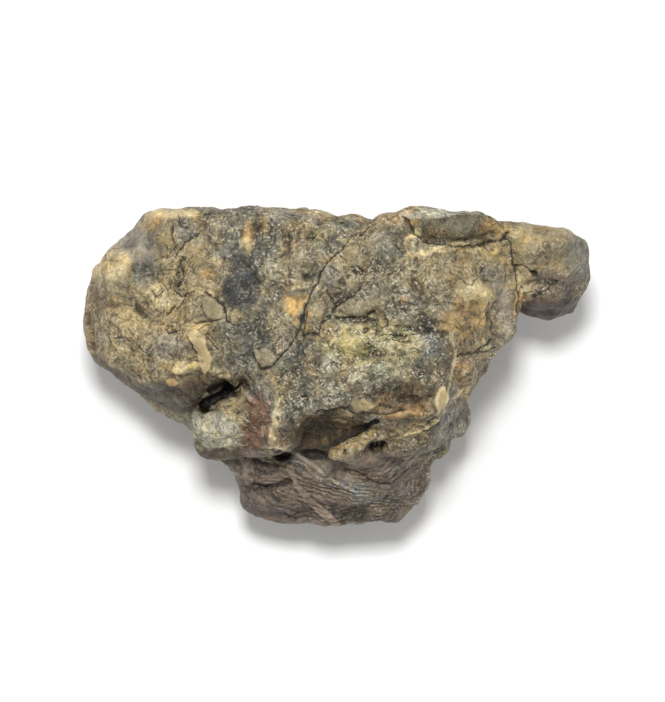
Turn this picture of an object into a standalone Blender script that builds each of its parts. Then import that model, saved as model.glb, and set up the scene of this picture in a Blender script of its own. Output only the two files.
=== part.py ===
"""A lunar meteorite: one weathered stone, lying on the flat break at its back.

Millimetres below, metres in the scene. X runs across the stone, Y up its face, Z out of the resting plane.
"""

from typing import NamedTuple

import bmesh
import bpy
import numpy as np
from mathutils import Matrix, Vector, noise
from mathutils.bvhtree import BVHTree

MM = 0.001

# Each lump is the convex hull of its corners.
LEFT_BLOCK = [
    # upper edge of the broad face, from the left end to the long crack
    (-24.5, 19.0, 24.0), (-20.0, 20.3, 25.0), (-10.0, 20.3, 26.0), (-3.0, 19.5, 26.5), (0.0, 17.0, 27.0),
    # along the long crack and the lower edge
    (-2.5, 10.0, 28.5), (-5.0, 6.5, 28.5), (-9.5, 0.0, 27.5), (-13.0, -3.5, 25.5),
    (-20.0, -4.4, 22.4), (-25.0, -2.6, 21.0), (-29.0, 1.0, 20.5),
    # the rounded left end of the face
    (-31.0, 6.0, 20.5), (-30.5, 11.5, 21.5), (-27.2, 14.6, 22.5),
    # widest line, seen as the outline
    (-35.2, 8.5, 12.0), (-35.2, 5.5, 12.0), (-33.9, 2.0, 12.0), (-32.2, 0.0, 12.0), (-27.0, -4.0, 12.0),
    (-24.3, -6.0, 13.0), (-21.0, -7.7, 14.5), (-17.5, -8.5, 16.0), (-34.2, 11.4, 13.0), (-31.6, 14.6, 14.0),
    (-28.6, 17.4, 16.0), (-25.8, 20.4, 18.0), (-24.4, 21.2, 20.0), (-18.0, 21.5, 21.0), (-10.0, 21.7, 22.0),
    (-5.0, 20.6, 22.0),
    # underside
    (-29.0, 8.0, 6.0), (-26.0, 0.0, 6.0), (-20.0, 16.0, 5.0), (-16.0, 18.0, 7.0), (-5.0, 19.5, 12.0),
]
CENTRE_BLOCK = [
    # rim of the broad face
    (0.5, 20.0, 24.5), (3.0, 19.6, 25.0), (7.0, 19.6, 25.5), (12.0, 19.0, 27.0), (17.0, 15.0, 27.5),
    (16.0, 8.0, 29.0), (15.8, 2.0, 30.0), (15.2, -3.0, 30.6), (14.2, -6.0, 30.4), (9.0, -7.4, 30.4),
    (2.0, -8.0, 29.5), (-5.0, -7.0, 27.5), (-10.0, -3.0, 26.0), (-6.0, 4.0, 27.5), (-2.0, 12.0, 27.5),
    # right flank, down to the outline
    (22.5, 14.0, 25.5), (25.0, 13.0, 23.0), (26.2, 8.0, 19.0), (25.7, 5.8, 17.5), (24.0, 3.2, 16.5),
    (22.2, 1.3, 15.5), (20.2, -1.2, 15.0), (18.6, -3.8, 14.5), (16.5, -8.0, 17.0), (20.6, 4.5, 25.5),
    (18.4, -0.5, 25.5), (17.0, -4.6, 24.5), (22.8, 9.0, 24.5),
    # under the lower ledge, and the base
    (13.0, -9.2, 26.0), (2.0, -9.3, 24.0), (-5.0, -8.6, 22.0),
    (8.0, 18.0, 10.0), (18.0, 12.0, 6.0), (14.0, 0.0, 4.0), (10.0, -6.0, 3.0), (-6.0, -6.0, 6.0),
    (-6.0, 14.0, 6.0),
]
CORE = [
    (-14.0, 20.0, 23.0), (-3.0, 20.4, 24.0), (0.5, 20.0, 24.6), (4.0, 19.8, 25.0), (9.0, 20.2, 24.0),
    (-1.0, 15.0, 27.6), (-4.0, 8.0, 28.4), (-8.0, 1.5, 27.4), (12.0, 0.0, 29.0), (10.0, -7.0, 27.0),
    (-6.0, -6.0, 26.6), (-12.0, -2.5, 24.5), (-20.0, -3.0, 18.0), (-22.0, 14.0, 20.0), (-20.0, 12.0, 6.0),
    (-14.0, -8.0, 8.0), (12.0, -8.0, 8.0), (14.0, 16.0, 8.0), (-4.0, 19.5, 9.0),
]
HIP = [
    (19.0, -4.0, 9.5), (19.6, -8.2, 10.5), (18.4, -9.6, 11.5), (17.0, -10.6, 12.0), (15.9, -12.0, 11.5),
    (14.4, -13.4, 11.0), (17.6, -5.0, 16.0), (16.2, -9.8, 18.0), (12.6, -11.6, 21.0), (13.6, -7.0, 24.0),
    (9.0, -12.5, 19.5), (14.0, -4.0, 6.0), (10.0, -11.0, 5.0),
]
KEEL = [
    (-12.4, -9.0, 16.0), (-6.0, -9.0, 20.0), (4.0, -9.0, 22.5), (11.0, -9.0, 22.0),
    (-13.3, -13.6, 12.0), (-11.4, -15.0, 16.0), (-4.0, -15.5, 18.5), (5.0, -15.5, 19.5), (10.8, -14.5, 17.5),
    # outline
    (-13.8, -15.5, 9.0), (-13.7, -18.3, 9.5), (-13.2, -20.3, 9.5), (-12.0, -21.8, 9.5), (-9.0, -22.2, 10.0),
    (-4.5, -22.2, 10.0), (0.0, -23.0, 10.5), (5.2, -23.0, 10.5), (9.2, -22.0, 10.5), (11.3, -20.7, 10.5),
    (12.8, -18.2, 10.5), (13.3, -15.8, 11.0), (13.6, -13.8, 11.5),
    (-8.0, -19.2, 14.0), (2.0, -19.7, 15.0), (9.0, -18.2, 15.0),
    # base
    (-9.0, -14.0, 3.0), (6.0, -15.5, 3.0), (10.0, -10.0, 3.0), (-10.0, -8.0, 3.0),
]
TOE = [
    # the plate that carries the lower left corner of the centre block
    (-10.1, -1.6, 26.0), (-15.0, -4.6, 23.0), (-17.9, -7.4, 19.5), (-18.9, -9.4, 17.0), (-18.4, -11.4, 16.0),
    (-16.4, -12.8, 16.5), (-13.8, -13.2, 18.0), (-11.0, -12.6, 20.5), (-7.4, -12.0, 23.0), (-6.0, -8.0, 27.0),
    (-18.6, -10.0, 14.0), (-16.9, -12.2, 13.0), (-13.8, -13.0, 13.0), (-9.0, -12.0, 13.0),
    (-14.0, -6.0, 12.0),
]
HORN = [
    (19.0, 18.8, 25.5), (22.5, 19.5, 24.5), (26.0, 19.6, 23.5), (30.5, 18.9, 22.5), (34.2, 17.6, 20.0),
    (26.0, 15.0, 25.0), (30.0, 14.5, 23.4), (25.0, 13.0, 24.0),
    (34.9, 16.0, 17.0), (34.6, 13.0, 14.0), (34.0, 11.8, 19.0), (34.9, 8.6, 11.0), (33.6, 6.9, 9.5),
    (31.2, 6.3, 8.5), (28.5, 6.2, 9.0), (26.4, 7.2, 12.0), (25.0, 8.8, 15.0), (31.6, 10.5, 19.4),
    (28.0, 10.0, 20.4),
    # the neck that runs into the centre block
    (20.0, 17.0, 11.0), (20.0, 8.0, 9.0), (24.0, 16.5, 8.0), (30.0, 14.0, 7.5), (27.0, 10.0, 6.5),
]
BROW = [
    (9.2, 20.4, 25.5), (10.0, 21.2, 24.6), (11.5, 21.8, 24.5), (16.0, 21.2, 24.8), (20.0, 20.2, 24.6),
    (24.0, 19.2, 24.4), (26.0, 17.4, 25.4), (22.5, 16.8, 26.8), (18.0, 16.2, 27.9), (13.5, 17.0, 28.6),
    (10.0, 19.2, 28.0), (11.6, 20.8, 28.2), (16.0, 20.6, 28.2), (21.0, 19.6, 27.0), (12.0, 17.0, 18.0),
    (20.0, 15.0, 18.0),
]
BACK = [
    # the break that it rests on
    (-13.0, 6.0, -1.8), (-12.0, -4.0, -1.8), (-5.0, -9.0, -1.8), (5.0, -10.0, -1.8), (10.0, -4.0, -1.8),
    (9.5, 6.0, -1.8), (1.5, 10.5, -1.8), (-7.0, 11.0, -1.8),
    # waist
    (-27.0, 9.0, 8.0), (-24.0, -2.0, 8.0), (-11.0, -14.0, 6.0), (8.0, -15.0, 6.0), (15.0, -7.0, 6.0),
    (20.0, 7.0, 7.0), (15.0, 17.0, 9.0), (-6.0, 19.5, 9.0), (-20.0, 17.0, 8.0),
]
APRON = [
    (5.5, -7.6, 28.0), (13.8, -7.2, 28.6), (12.6, -11.8, 22.8), (7.0, -12.2, 22.6), (15.0, -10.2, 19.5),
    (8.0, -8.0, 16.0), (14.0, -6.0, 16.0),
]
TONGUE = [
    (-8.6, -6.6, 27.2), (-3.2, -7.0, 27.6), (-4.2, -10.6, 24.6), (-5.8, -11.8, 23.4), (-7.6, -11.4, 23.6),
    (-7.0, -9.0, 16.0), (-3.6, -8.4, 17.0),
]
BELLY = [
    (-25.0, -3.0, 12.0), (-19.0, -7.5, 14.5), (-15.0, -13.0, 13.0), (-13.6, -16.5, 9.0), (-9.0, -16.0, 4.0),
    (-14.0, -6.0, 18.0), (-22.0, 2.0, 5.5), (-10.0, -6.0, 2.0), (-10.0, -12.0, 16.0),
]
LUMPS = [LEFT_BLOCK, CENTRE_BLOCK, CORE, HIP, KEEL, TOE, HORN, BROW, BACK, APRON, TONGUE, BELLY]

# Wedges taken out of the lumps: the notch above the toe, and the slot under the lower ledge.
NOTCH = [
    (-25.5, -9.6, 25.0), (-22.5, -4.6, 30.0), (-9.6, -0.2, 32.0), (-8.9, -1.7, 32.0),
    (-20.2, -7.9, 13.0), (-19.6, -7.0, 13.0), (-12.4, -3.2, 18.5), (-12.0, -4.0, 18.5),
]
SLOT = [
    (-3.9, -8.0, 32.0), (-1.8, -6.1, 32.0), (1.5, -5.6, 32.0), (5.6, -6.9, 32.0), (5.0, -12.5, 32.0),
    (-3.4, -12.5, 32.0), (-3.2, -8.2, 25.5), (-1.0, -7.0, 24.2), (3.0, -7.2, 24.0), (4.6, -8.0, 25.0),
    (3.8, -11.0, 21.6), (-3.2, -11.0, 22.0),
]
WEDGES = [NOTCH, SLOT]


class Side(NamedTuple):
    """A way of looking at the stone: the line of sight, and the two axes that place a spot across it."""

    look: tuple
    across: tuple
    up: tuple


FACE = Side((0, 0, -1), (1, 0, 0), (0, 1, 0))
BASE = Side((0, 0, 1), (1, 0, 0), (0, 1, 0))
NEAR = Side((0, 1, 0), (1, 0, 0), (0, 0, 1))
FAR = Side((0, -1, 0), (1, 0, 0), (0, 0, 1))
LEFT = Side((1, 0, 0), (0, 1, 0), (0, 0, 1))
RIGHT = Side((-1, 0, 0), (0, 1, 0), (0, 0, 1))


class Swelling(NamedTuple):
    """An egg-shaped rise, or a hollow where proud is negative, at a spot on one side."""

    side: Side
    at: tuple
    long: float
    wide: float
    proud: float
    turn: float


SWELLINGS = [
    # the broad face, from the left end to the right
    Swelling(FACE, (-29.0, 12.0), 8.0, 5.0, 0.9, 60),
    Swelling(FACE, (-22.0, 14.5), 9.0, 6.0, 0.8, 20),
    Swelling(FACE, (-18.0, 4.5), 5.0, 4.0, 0.6, 30),
    Swelling(FACE, (-18.3, 2.4), 4.8, 1.9, 0.9, -62),
    Swelling(FACE, (-22.5, -1.5), 3.0, 2.2, 0.8, 10),
    Swelling(FACE, (-11.0, 8.0), 9.0, 6.0, 0.5, 80),
    Swelling(FACE, (-4.0, 15.8), 8.0, 5.0, 0.3, 10),
    Swelling(FACE, (1.5, 14.4), 6.0, 4.5, 0.5, 40),
    Swelling(FACE, (7.5, 14.0), 8.0, 5.5, 1.0, -55),
    Swelling(FACE, (5.0, 8.6), 7.4, 3.6, 1.5, 12),
    Swelling(FACE, (-1.6, 6.2), 4.6, 3.6, 0.9, 70),
    Swelling(FACE, (12.5, 8.0), 6.5, 4.5, 0.9, 30),
    Swelling(FACE, (18.5, 11.0), 7.0, 4.5, 1.0, 15),
    Swelling(FACE, (20.5, 6.0), 6.0, 4.0, 0.9, 60),
    Swelling(FACE, (11.0, -3.5), 9.0, 5.0, 0.7, 20),
    Swelling(FACE, (-2.0, -3.0), 8.0, 4.0, 0.6, 70),
    Swelling(FACE, (3.0, 0.5), 8.0, 4.0, 0.6, 20),
    Swelling(FACE, (13.5, -6.2), 5.0, 2.0, 0.7, 60),
    Swelling(FACE, (2.6, -11.2), 8.8, 4.2, 2.3, 28),
    Swelling(FACE, (9.5, -12.0), 8.0, 3.0, 1.3, 55),
    Swelling(FACE, (-16.5, -10.2), 5.5, 4.0, 0.8, 25),
    Swelling(FACE, (30.0, 15.5), 7.0, 5.0, 0.8, -10),
    Swelling(FACE, (24.5, 9.5), 5.0, 2.4, 1.0, 70),
    # hollows in the face
    Swelling(FACE, (2.3, 12.8), 3.0, 2.4, -1.2, 30),
    Swelling(FACE, (7.5, 10.6), 6.0, 1.8, -0.8, 10),
    Swelling(FACE, (-7.0, -12.6), 2.6, 1.7, -1.6, -15),
    Swelling(FACE, (-2.8, -12.6), 4.4, 1.8, -1.5, -8),
    Swelling(FACE, (6.0, -11.2), 2.2, 1.5, -1.3, 20),
    Swelling(FACE, (-22.0, 9.0), 6.0, 3.0, -0.6, 70),
    # the keel's shelves, seen from the near side
    Swelling(NEAR, (-7.0, 13.5), 10.0, 2.4, 1.1, 6),
    Swelling(NEAR, (5.0, 12.5), 12.0, 2.0, 0.9, -8),
    Swelling(NEAR, (2.0, 15.8), 11.0, 1.6, 0.8, -3),
    Swelling(NEAR, (-6.0, 6.0), 10.0, 5.0, 1.3, 12),
    Swelling(NEAR, (8.0, 6.0), 8.0, 4.0, 1.2, -20),
    Swelling(NEAR, (-23.0, 13.5), 8.0, 4.0, 0.5, 8),
    Swelling(NEAR, (29.0, 13.0), 6.0, 4.0, 0.7, 30),
    # the far side, the ends and the base
    Swelling(FAR, (-17.0, 16.0), 11.0, 6.0, 1.0, 10),
    Swelling(FAR, (-3.0, 18.0), 9.0, 5.0, 1.1, -25),
    Swelling(FAR, (8.0, 15.0), 10.0, 6.0, 1.4, 15),
    Swelling(FAR, (18.0, 17.0), 8.0, 4.0, 1.0, 50),
    Swelling(FAR, (-9.0, 11.5), 8.0, 5.0, -0.9, 20),
    Swelling(FAR, (12.0, 8.5), 8.0, 4.0, -0.8, -10),
    Swelling(LEFT, (5.0, 15.0), 9.0, 5.0, 0.9, 20),
    Swelling(LEFT, (12.0, 12.0), 6.0, 5.0, 0.8, -40),
    Swelling(LEFT, (1.0, 9.0), 6.0, 4.0, -1.0, 30),
    Swelling(RIGHT, (-2.0, 18.0), 9.0, 6.0, 1.0, -60),
    Swelling(RIGHT, (0.0, 8.0), 7.0, 4.0, -1.2, 10),
    Swelling(RIGHT, (12.0, 15.0), 6.0, 4.0, 0.7, 40),
    Swelling(BASE, (-20.0, 6.0), 10.0, 7.0, 1.2, 40),
    Swelling(BASE, (15.0, 3.0), 9.0, 6.0, 1.2, -30),
    Swelling(BASE, (-15.0, -7.0), 8.0, 5.0, -1.4, 20),
    Swelling(BASE, (12.0, 12.0), 8.0, 5.0, -1.3, 60),
    Swelling(BASE, (27.0, 12.0), 6.0, 4.0, 0.8, 20),
]


class Crack(NamedTuple):
    """A split along a line of spots on one side, with its width and depth."""

    side: Side
    path: list
    width: float
    depth: float


CRACKS = [
    # the long crack between the left and the centre blocks
    Crack(FACE, [(5.5, 19.8), (2.4, 17.4), (0.2, 15.6), (-1.8, 13.5), (-2.5, 11.4), (-3.7, 9.6), (-4.5, 7.3),
                 (-5.1, 4.8), (-6.8, 2.2), (-8.6, 0.1), (-10.0, -0.4)], 1.2, 0.9),
    Crack(FACE, [(1.6, 6.9), (4.0, 6.2), (6.8, 7.2)], 1.1, 0.7),
    # under the brow and down behind the horn
    Crack(FACE, [(9.2, 19.6), (10.6, 18.1), (13.0, 16.8), (17.0, 16.2), (20.0, 16.9), (23.0, 17.6),
                 (24.4, 16.0), (24.6, 13.6), (26.4, 11.9), (27.2, 10.4)], 1.4, 0.9),
    Crack(FACE, [(17.0, 1.9), (18.8, 2.4), (20.6, 3.4)], 1.0, 0.5),
    Crack(FAR, [(-2.0, 21.0), (-3.0, 16.0), (-1.0, 11.0), (-2.0, 7.0)], 1.3, 0.8),
    Crack(BASE, [(-25.0, 3.0), (-17.0, 9.0), (-9.0, 14.0), (-2.0, 17.0)], 1.3, 0.8),
]

VOXEL = 0.5
BLOCK_ROUNDING = 10
SWELLING_ROUNDING = 3
TRIANGLES = 9400
RAY_START = 100.0
FLOOR_SIZE = 120.0
CRACK_STEP = 0.4
EGG_LEAST_COVER = 0.5

# How the chips are strewn: the seed and the shift of the pattern, the spread of their tilts, and the length
# and reach of the waves in their edges.
CHIP_SEED = 5
CHIP_SHIFT = Vector((3.7, 1.9, 8.3))
TILT_SPREAD = 5.3
WANDER_PITCH = 0.6
WANDER_REACH = 0.35

# The keel's layers: where they begin, over what depth they fade in, and how steep, thick and wavy they are.
LAYERS_BELOW_Y = -10.0
LAYERS_FADE_Y = 3.0
LAYERS_BELOW_Z = 21.0
LAYERS_FADE_Z = 2.0
LAYER_SLOPE = (0.0, -0.35, 0.8)
LAYER_PITCH = 2.3
LAYER_STEP = 0.7
LAYER_TREAD = 0.8
LAYER_WAVE = 2.0
LAYER_WAVE_LENGTH = 9.0
LAYER_WAVE_FADE = 0.8


class Chips(NamedTuple):
    """A skin of small faces: their size, how far they lean, and how far they dish (below zero: domes)."""

    size: float
    lean: float
    dish: float


BREAKS = Chips(9.5, 1.8, 1.8)
KNOBS = Chips(3.5, 1.0, -1.0)


def clear_scene():
    """Empties the scene."""
    for item in list(bpy.data.objects):
        bpy.data.objects.remove(item)


def object_of(mesh, name):
    """Links a bmesh to the scene as an object."""
    data = bpy.data.meshes.new(name)
    bmesh.ops.recalc_face_normals(mesh, faces=mesh.faces)
    mesh.to_mesh(data)
    mesh.free()
    item = bpy.data.objects.new(name, data)
    bpy.context.scene.collection.objects.link(item)
    return item


def hull_into(mesh, corners):
    """Adds the convex hull of the corners to a bmesh."""
    points = [mesh.verts.new(Vector(corner) * MM) for corner in corners]
    made = bmesh.ops.convex_hull(mesh, input=points)
    bmesh.ops.delete(mesh, geom=made["geom_interior"], context="VERTS")


def lumps_together():
    """One object that holds every lump's hull, still overlapping."""
    mesh = bmesh.new()
    for corners in LUMPS:
        hull_into(mesh, corners)
    return object_of(mesh, "stone")


def apply_modifiers(item):
    """Turns what the modifiers make into the object's own mesh."""
    graph = bpy.context.evaluated_depsgraph_get()
    made = bpy.data.meshes.new_from_object(item.evaluated_get(graph))
    item.modifiers.clear()
    item.data = made


def weld(item, rounding):
    """Fuses overlapping shapes into one skin and rounds its edges."""
    skin = item.modifiers.new("skin", "REMESH")
    skin.mode = "VOXEL"
    skin.voxel_size = VOXEL * MM
    soften = item.modifiers.new("soften", "SMOOTH")
    soften.factor = 0.5
    soften.iterations = rounding
    apply_modifiers(item)


def take_out(stone, mesh):
    """Cuts a bmesh out of the stone."""
    cutter = object_of(mesh, "cutter")
    cut = stone.modifiers.new("cut", "BOOLEAN")
    cut.operation = "DIFFERENCE"
    cut.object = cutter
    apply_modifiers(stone)
    bpy.data.objects.remove(cutter)


def cut_wedges(stone):
    """Takes the notch and the slot out."""
    for corners in WEDGES:
        mesh = bmesh.new()
        hull_into(mesh, corners)
        take_out(stone, mesh)


def spot(tree, side, at):
    """The point and the outward normal where a line of sight meets the stone."""
    look = Vector(side.look)
    start = Vector(side.across) * at[0] + Vector(side.up) * at[1] - look * RAY_START
    point, normal, _, _ = tree.ray_cast(start * MM, look)
    return point, normal


def egg_into(mesh, tree, swelling):
    """Adds a swelling's egg to a bmesh, sunk so that it stands proud, or cuts in, by the amount it states."""
    point, normal = spot(tree, swelling.side, swelling.at)
    if point is None:
        return
    thick = max(swelling.wide * 0.5, abs(swelling.proud) + EGG_LEAST_COVER)
    turned = Matrix.Rotation(np.radians(swelling.turn), 3, Vector(swelling.side.look))
    along = turned @ Vector(swelling.side.across)
    along = (along - normal * along.dot(normal)).normalized()
    axes = Matrix((along, normal.cross(along), normal)).transposed()
    sizes = Matrix.Diagonal((swelling.long * 0.5 * MM, swelling.wide * 0.5 * MM, thick * MM))
    out = swelling.proud - thick if swelling.proud > 0 else thick + swelling.proud
    place = Matrix.Translation(point + normal * out * MM) @ (axes @ sizes).to_4x4()
    bmesh.ops.create_icosphere(mesh, subdivisions=3, radius=1.0, matrix=place)


def swell(stone):
    """Joins the swellings to the stone and takes the hollows out of it."""
    tree = BVHTree.FromObject(stone, bpy.context.evaluated_depsgraph_get())
    rises = bmesh.new()
    rises.from_mesh(stone.data)
    hollows = bmesh.new()
    for swelling in SWELLINGS:
        egg_into(rises if swelling.proud > 0 else hollows, tree, swelling)
    rises.to_mesh(stone.data)
    rises.free()
    weld(stone, 1)
    take_out(stone, hollows)
    weld(stone, SWELLING_ROUNDING)


def chip_height(point, chips):
    """How far the surface stands out at a point: dishes meet along ridges, and domes along creases."""
    place = point / chips.size + CHIP_SHIFT
    _, centres = noise.voronoi(place)
    heights = []
    for centre in centres:
        away = place - centre
        tilt = noise.noise_vector(centre * TILT_SPREAD)
        heights.append(away.dot(tilt) * chips.lean + away.length_squared * chips.dish)
    return min(heights) if chips.dish > 0 else max(heights)


def roughen(stone):
    """Breaks the skin into large dished faces with small knobs on them."""
    noise.seed_set(CHIP_SEED)
    data = stone.data
    for chips in (BREAKS, KNOBS):
        data.update()
        normals = [vertex.normal.copy() for vertex in data.vertices]
        heights = []
        for vertex in data.vertices:
            place = vertex.co / MM
            warp = noise.noise_vector(place / chips.size * WANDER_PITCH) * chips.size * WANDER_REACH
            heights.append(chip_height(place + warp, chips))
        middle = sum(heights) / len(heights)
        for vertex, normal, height in zip(data.vertices, normals, heights):
            vertex.co += normal * (height - middle) * MM
    data.update()


def fade(depth, reach):
    """Rises from 0 to 1 over a reach."""
    return min(1.0, max(0.0, depth / reach))


def layer(stone):
    """Steps the keel into its thin wavy layers."""
    data = stone.data
    normals = [vertex.normal.copy() for vertex in data.vertices]
    for vertex, normal in zip(data.vertices, normals):
        place = vertex.co / MM
        share = fade(LAYERS_BELOW_Y - place.y, LAYERS_FADE_Y) * fade(LAYERS_BELOW_Z - place.z, LAYERS_FADE_Z)
        if share == 0.0:
            continue
        wave = noise.fractal(place / LAYER_WAVE_LENGTH, LAYER_WAVE_FADE, 2.0, 2) * LAYER_WAVE
        step = ((place.dot(Vector(LAYER_SLOPE)) + wave) / LAYER_PITCH) % 1.0
        rise = step / LAYER_TREAD if step < LAYER_TREAD else (1.0 - step) / (1.0 - LAYER_TREAD)
        vertex.co += normal * (rise - 0.5) * LAYER_STEP * share * MM
    data.update()


def drape(tree, crack):
    """The crack's line laid on the surface, as points a short step apart."""
    line = []
    for start, end in zip(crack.path, crack.path[1:]):
        start, end = np.array(start), np.array(end)
        steps = max(2, int(np.linalg.norm(end - start) / CRACK_STEP))
        for share in np.linspace(0.0, 1.0, steps, endpoint=False):
            point, _ = spot(tree, crack.side, start + (end - start) * share)
            if point is not None:
                line.append(np.array(point) / MM)
    return np.array(line)


def split(stone):
    """Presses each crack in as a groove."""
    data = stone.data
    tree = BVHTree.FromObject(stone, bpy.context.evaluated_depsgraph_get())
    points = np.array([vertex.co for vertex in data.vertices]) / MM
    normals = np.array([vertex.normal for vertex in data.vertices])
    for crack in CRACKS:
        line = drape(tree, crack)
        inside = (points > line.min(0) - crack.width) & (points < line.max(0) + crack.width)
        near = np.where(inside.all(1))[0]
        away = np.linalg.norm(points[near, None] - line[None], axis=2).min(1)
        press = np.clip(1.0 - away / (crack.width * 0.5), 0.0, 1.0) * crack.depth
        points[near] -= normals[near] * press[:, None]
    data.vertices.foreach_set("co", (points * MM).ravel())
    data.update()


def thin_out(stone):
    """Keeps the triangles where the form bends."""
    sides = sum(len(face.vertices) - 2 for face in stone.data.polygons)
    thin = stone.modifiers.new("thin", "DECIMATE")
    thin.ratio = TRIANGLES / sides
    apply_modifiers(stone)


def set_down(stone):
    """Cuts the flat break that the stone rests on, and puts the origin below its middle, on the floor."""
    ground = bmesh.new()
    below = Matrix.Translation((0, 0, -FLOOR_SIZE / 2 * MM))
    bmesh.ops.create_cube(ground, size=FLOOR_SIZE * MM, matrix=below)
    take_out(stone, ground)
    mesh = bmesh.new()
    mesh.from_mesh(stone.data)
    bmesh.ops.triangulate(mesh, faces=mesh.faces)
    places = np.array([vertex.co for vertex in mesh.verts])
    middle = (places.min(0) + places.max(0)) / 2
    bmesh.ops.translate(mesh, vec=(-middle[0], -middle[1], 0.0), verts=mesh.verts)
    mesh.to_mesh(stone.data)
    mesh.free()


def weathered_rind():
    """The rock's colour: olive grey breccia under a tan weathering rind."""
    rind = bpy.data.materials.new("weathered_rind")
    rind.use_nodes = True
    shader = rind.node_tree.nodes["Principled BSDF"]
    shader.inputs["Base Color"].default_value = (0.19, 0.16, 0.11, 1.0)
    shader.inputs["Roughness"].default_value = 0.62
    shader.inputs["Metallic"].default_value = 0.0
    return rind


def main():
    """Builds the stone."""
    clear_scene()
    stone = lumps_together()
    weld(stone, BLOCK_ROUNDING)
    cut_wedges(stone)
    swell(stone)
    roughen(stone)
    layer(stone)
    split(stone)
    thin_out(stone)
    set_down(stone)
    stone.data.materials.append(weathered_rind())


main()
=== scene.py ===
"""The looks of a lunar meteorite: one weathered breccia stone that lies on its back under soft daylight.

The stone's broad face is dressed from a camera straight above it. Places on the face are picture points, in
pixels of the 665 x 702 frame, and every other size is in millimetres unless its name says metres.
"""

import logging
import math
from dataclasses import dataclass, field
from enum import Enum

import bpy
import numpy as np
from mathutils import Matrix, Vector, noise

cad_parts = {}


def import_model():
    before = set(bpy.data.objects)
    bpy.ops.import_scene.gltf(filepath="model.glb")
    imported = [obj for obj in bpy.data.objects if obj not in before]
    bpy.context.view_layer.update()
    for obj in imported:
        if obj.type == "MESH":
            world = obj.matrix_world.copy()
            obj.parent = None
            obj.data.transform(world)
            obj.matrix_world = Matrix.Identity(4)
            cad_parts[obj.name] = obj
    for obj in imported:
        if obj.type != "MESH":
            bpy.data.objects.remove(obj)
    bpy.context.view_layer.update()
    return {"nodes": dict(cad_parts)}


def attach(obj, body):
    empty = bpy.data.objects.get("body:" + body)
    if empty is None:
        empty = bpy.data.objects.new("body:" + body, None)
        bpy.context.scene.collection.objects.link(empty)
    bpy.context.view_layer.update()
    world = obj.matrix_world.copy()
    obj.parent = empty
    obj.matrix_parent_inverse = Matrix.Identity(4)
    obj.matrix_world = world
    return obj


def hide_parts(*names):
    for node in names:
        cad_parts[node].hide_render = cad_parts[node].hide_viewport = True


MM = 0.001
FRAME_WIDTH_PX = 665
FRAME_HEIGHT_PX = 702
NOISE_SEED = 7
SEED_STEP = 7.31
SCATTER = (12.9, 78.2, 37.7)
SCATTER_BY = 43758.5
# A gap that counts as far from every crack, in half widths of its hairline.
FAR = 9.0
log = logging.getLogger("lunar_meteorite")

Rows = np.ndarray
Pixel = tuple[float, float]
Pair = tuple[float, float]
Tree = bpy.types.NodeTree
Socket = bpy.types.NodeSocket
Outputs = bpy.types.bpy_prop_collection


def linear(hex_colour: str) -> tuple[float, float, float]:
    """Turns an sRGB hex value to linear light.

    Args:
        hex_colour: six digits after a hash sign.

    Returns:
        Red, green and blue from 0 to 1.
    """
    parts = [int(hex_colour[start:start + 2], 16) / 255 for start in (1, 3, 5)]
    return tuple(part / 12.92 if part <= 0.04045 else ((part + 0.055) / 1.055) ** 2.4 for part in parts)


def ramp(values: Rows, low: float, high: float) -> Rows:
    """Rises smoothly from 0 at low to 1 at high."""
    share = np.clip((values - low) / (high - low), 0.0, 1.0)
    return share * share * (3.0 - 2.0 * share)


def blend(old: Rows, new: Rows | float, share: Rows) -> Rows:
    """Takes numbers or colours from old to new, by each point's share.

    Args:
        old: a number or a colour for each point.
        new: what it turns to.
        share: how much of the new each point gets, from 0 to 1.

    Returns:
        The blended numbers or colours.
    """
    if old.ndim > share.ndim:
        share = share[:, None]
    return old * (1 - share) + new * share


def warn_of_miss(name: str, share: Rows) -> None:
    """Says so when a mark shows nowhere on the stone."""
    if not share.any():
        log.warning("%s shows nowhere on the stone", name)


class Tint(Enum):
    """The rind's colours, each named for the mineral or the weathering that gives it. Umber and the dark lobe
    brown are also laid as painted shade in hollows and undersides, and the crystal white as painted glints.
    """

    OLIVE_MATRIX = "#756D56"
    GREY_MATRIX = "#625F54"
    TAN_CLAY = "#93825D"
    CLAST_TAN = "#A3906A"
    DARK_GLASS = "#3F3D37"
    BLUE_GLASS = "#454A49"
    UMBER = "#43351F"
    BROWN_STAIN = "#705B3E"
    RUST = "#663E2B"
    ORANGE_STAIN = "#A8824F"
    OCHRE = "#9D7F4E"
    CREAM = "#D6C493"
    PALE_FELDSPAR = "#AEA993"
    YELLOW_GREEN = "#968E5C"
    LAVENDER_GREY = "#857E72"
    LOBE_BROWN = "#6B5E51"
    LOBE_DARK = "#4B4036"
    OLIVE_SHADE = "#4D4632"
    NIGHT_GLASS = "#2E3236"
    VEIN = "#7F6F60"
    LIGHT_ORANGE = "#CDA868"
    BLACK = "#1C1812"
    LIGHT_TAN = "#BDAA7E"
    # Pale crystal, and the white of painted glints.
    CRYSTAL_AND_GLINT = "#EFE6CC"

    @property
    def light(self) -> Rows:
        """Its red, green and blue in linear light."""
        return np.array(linear(self.value))


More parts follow.
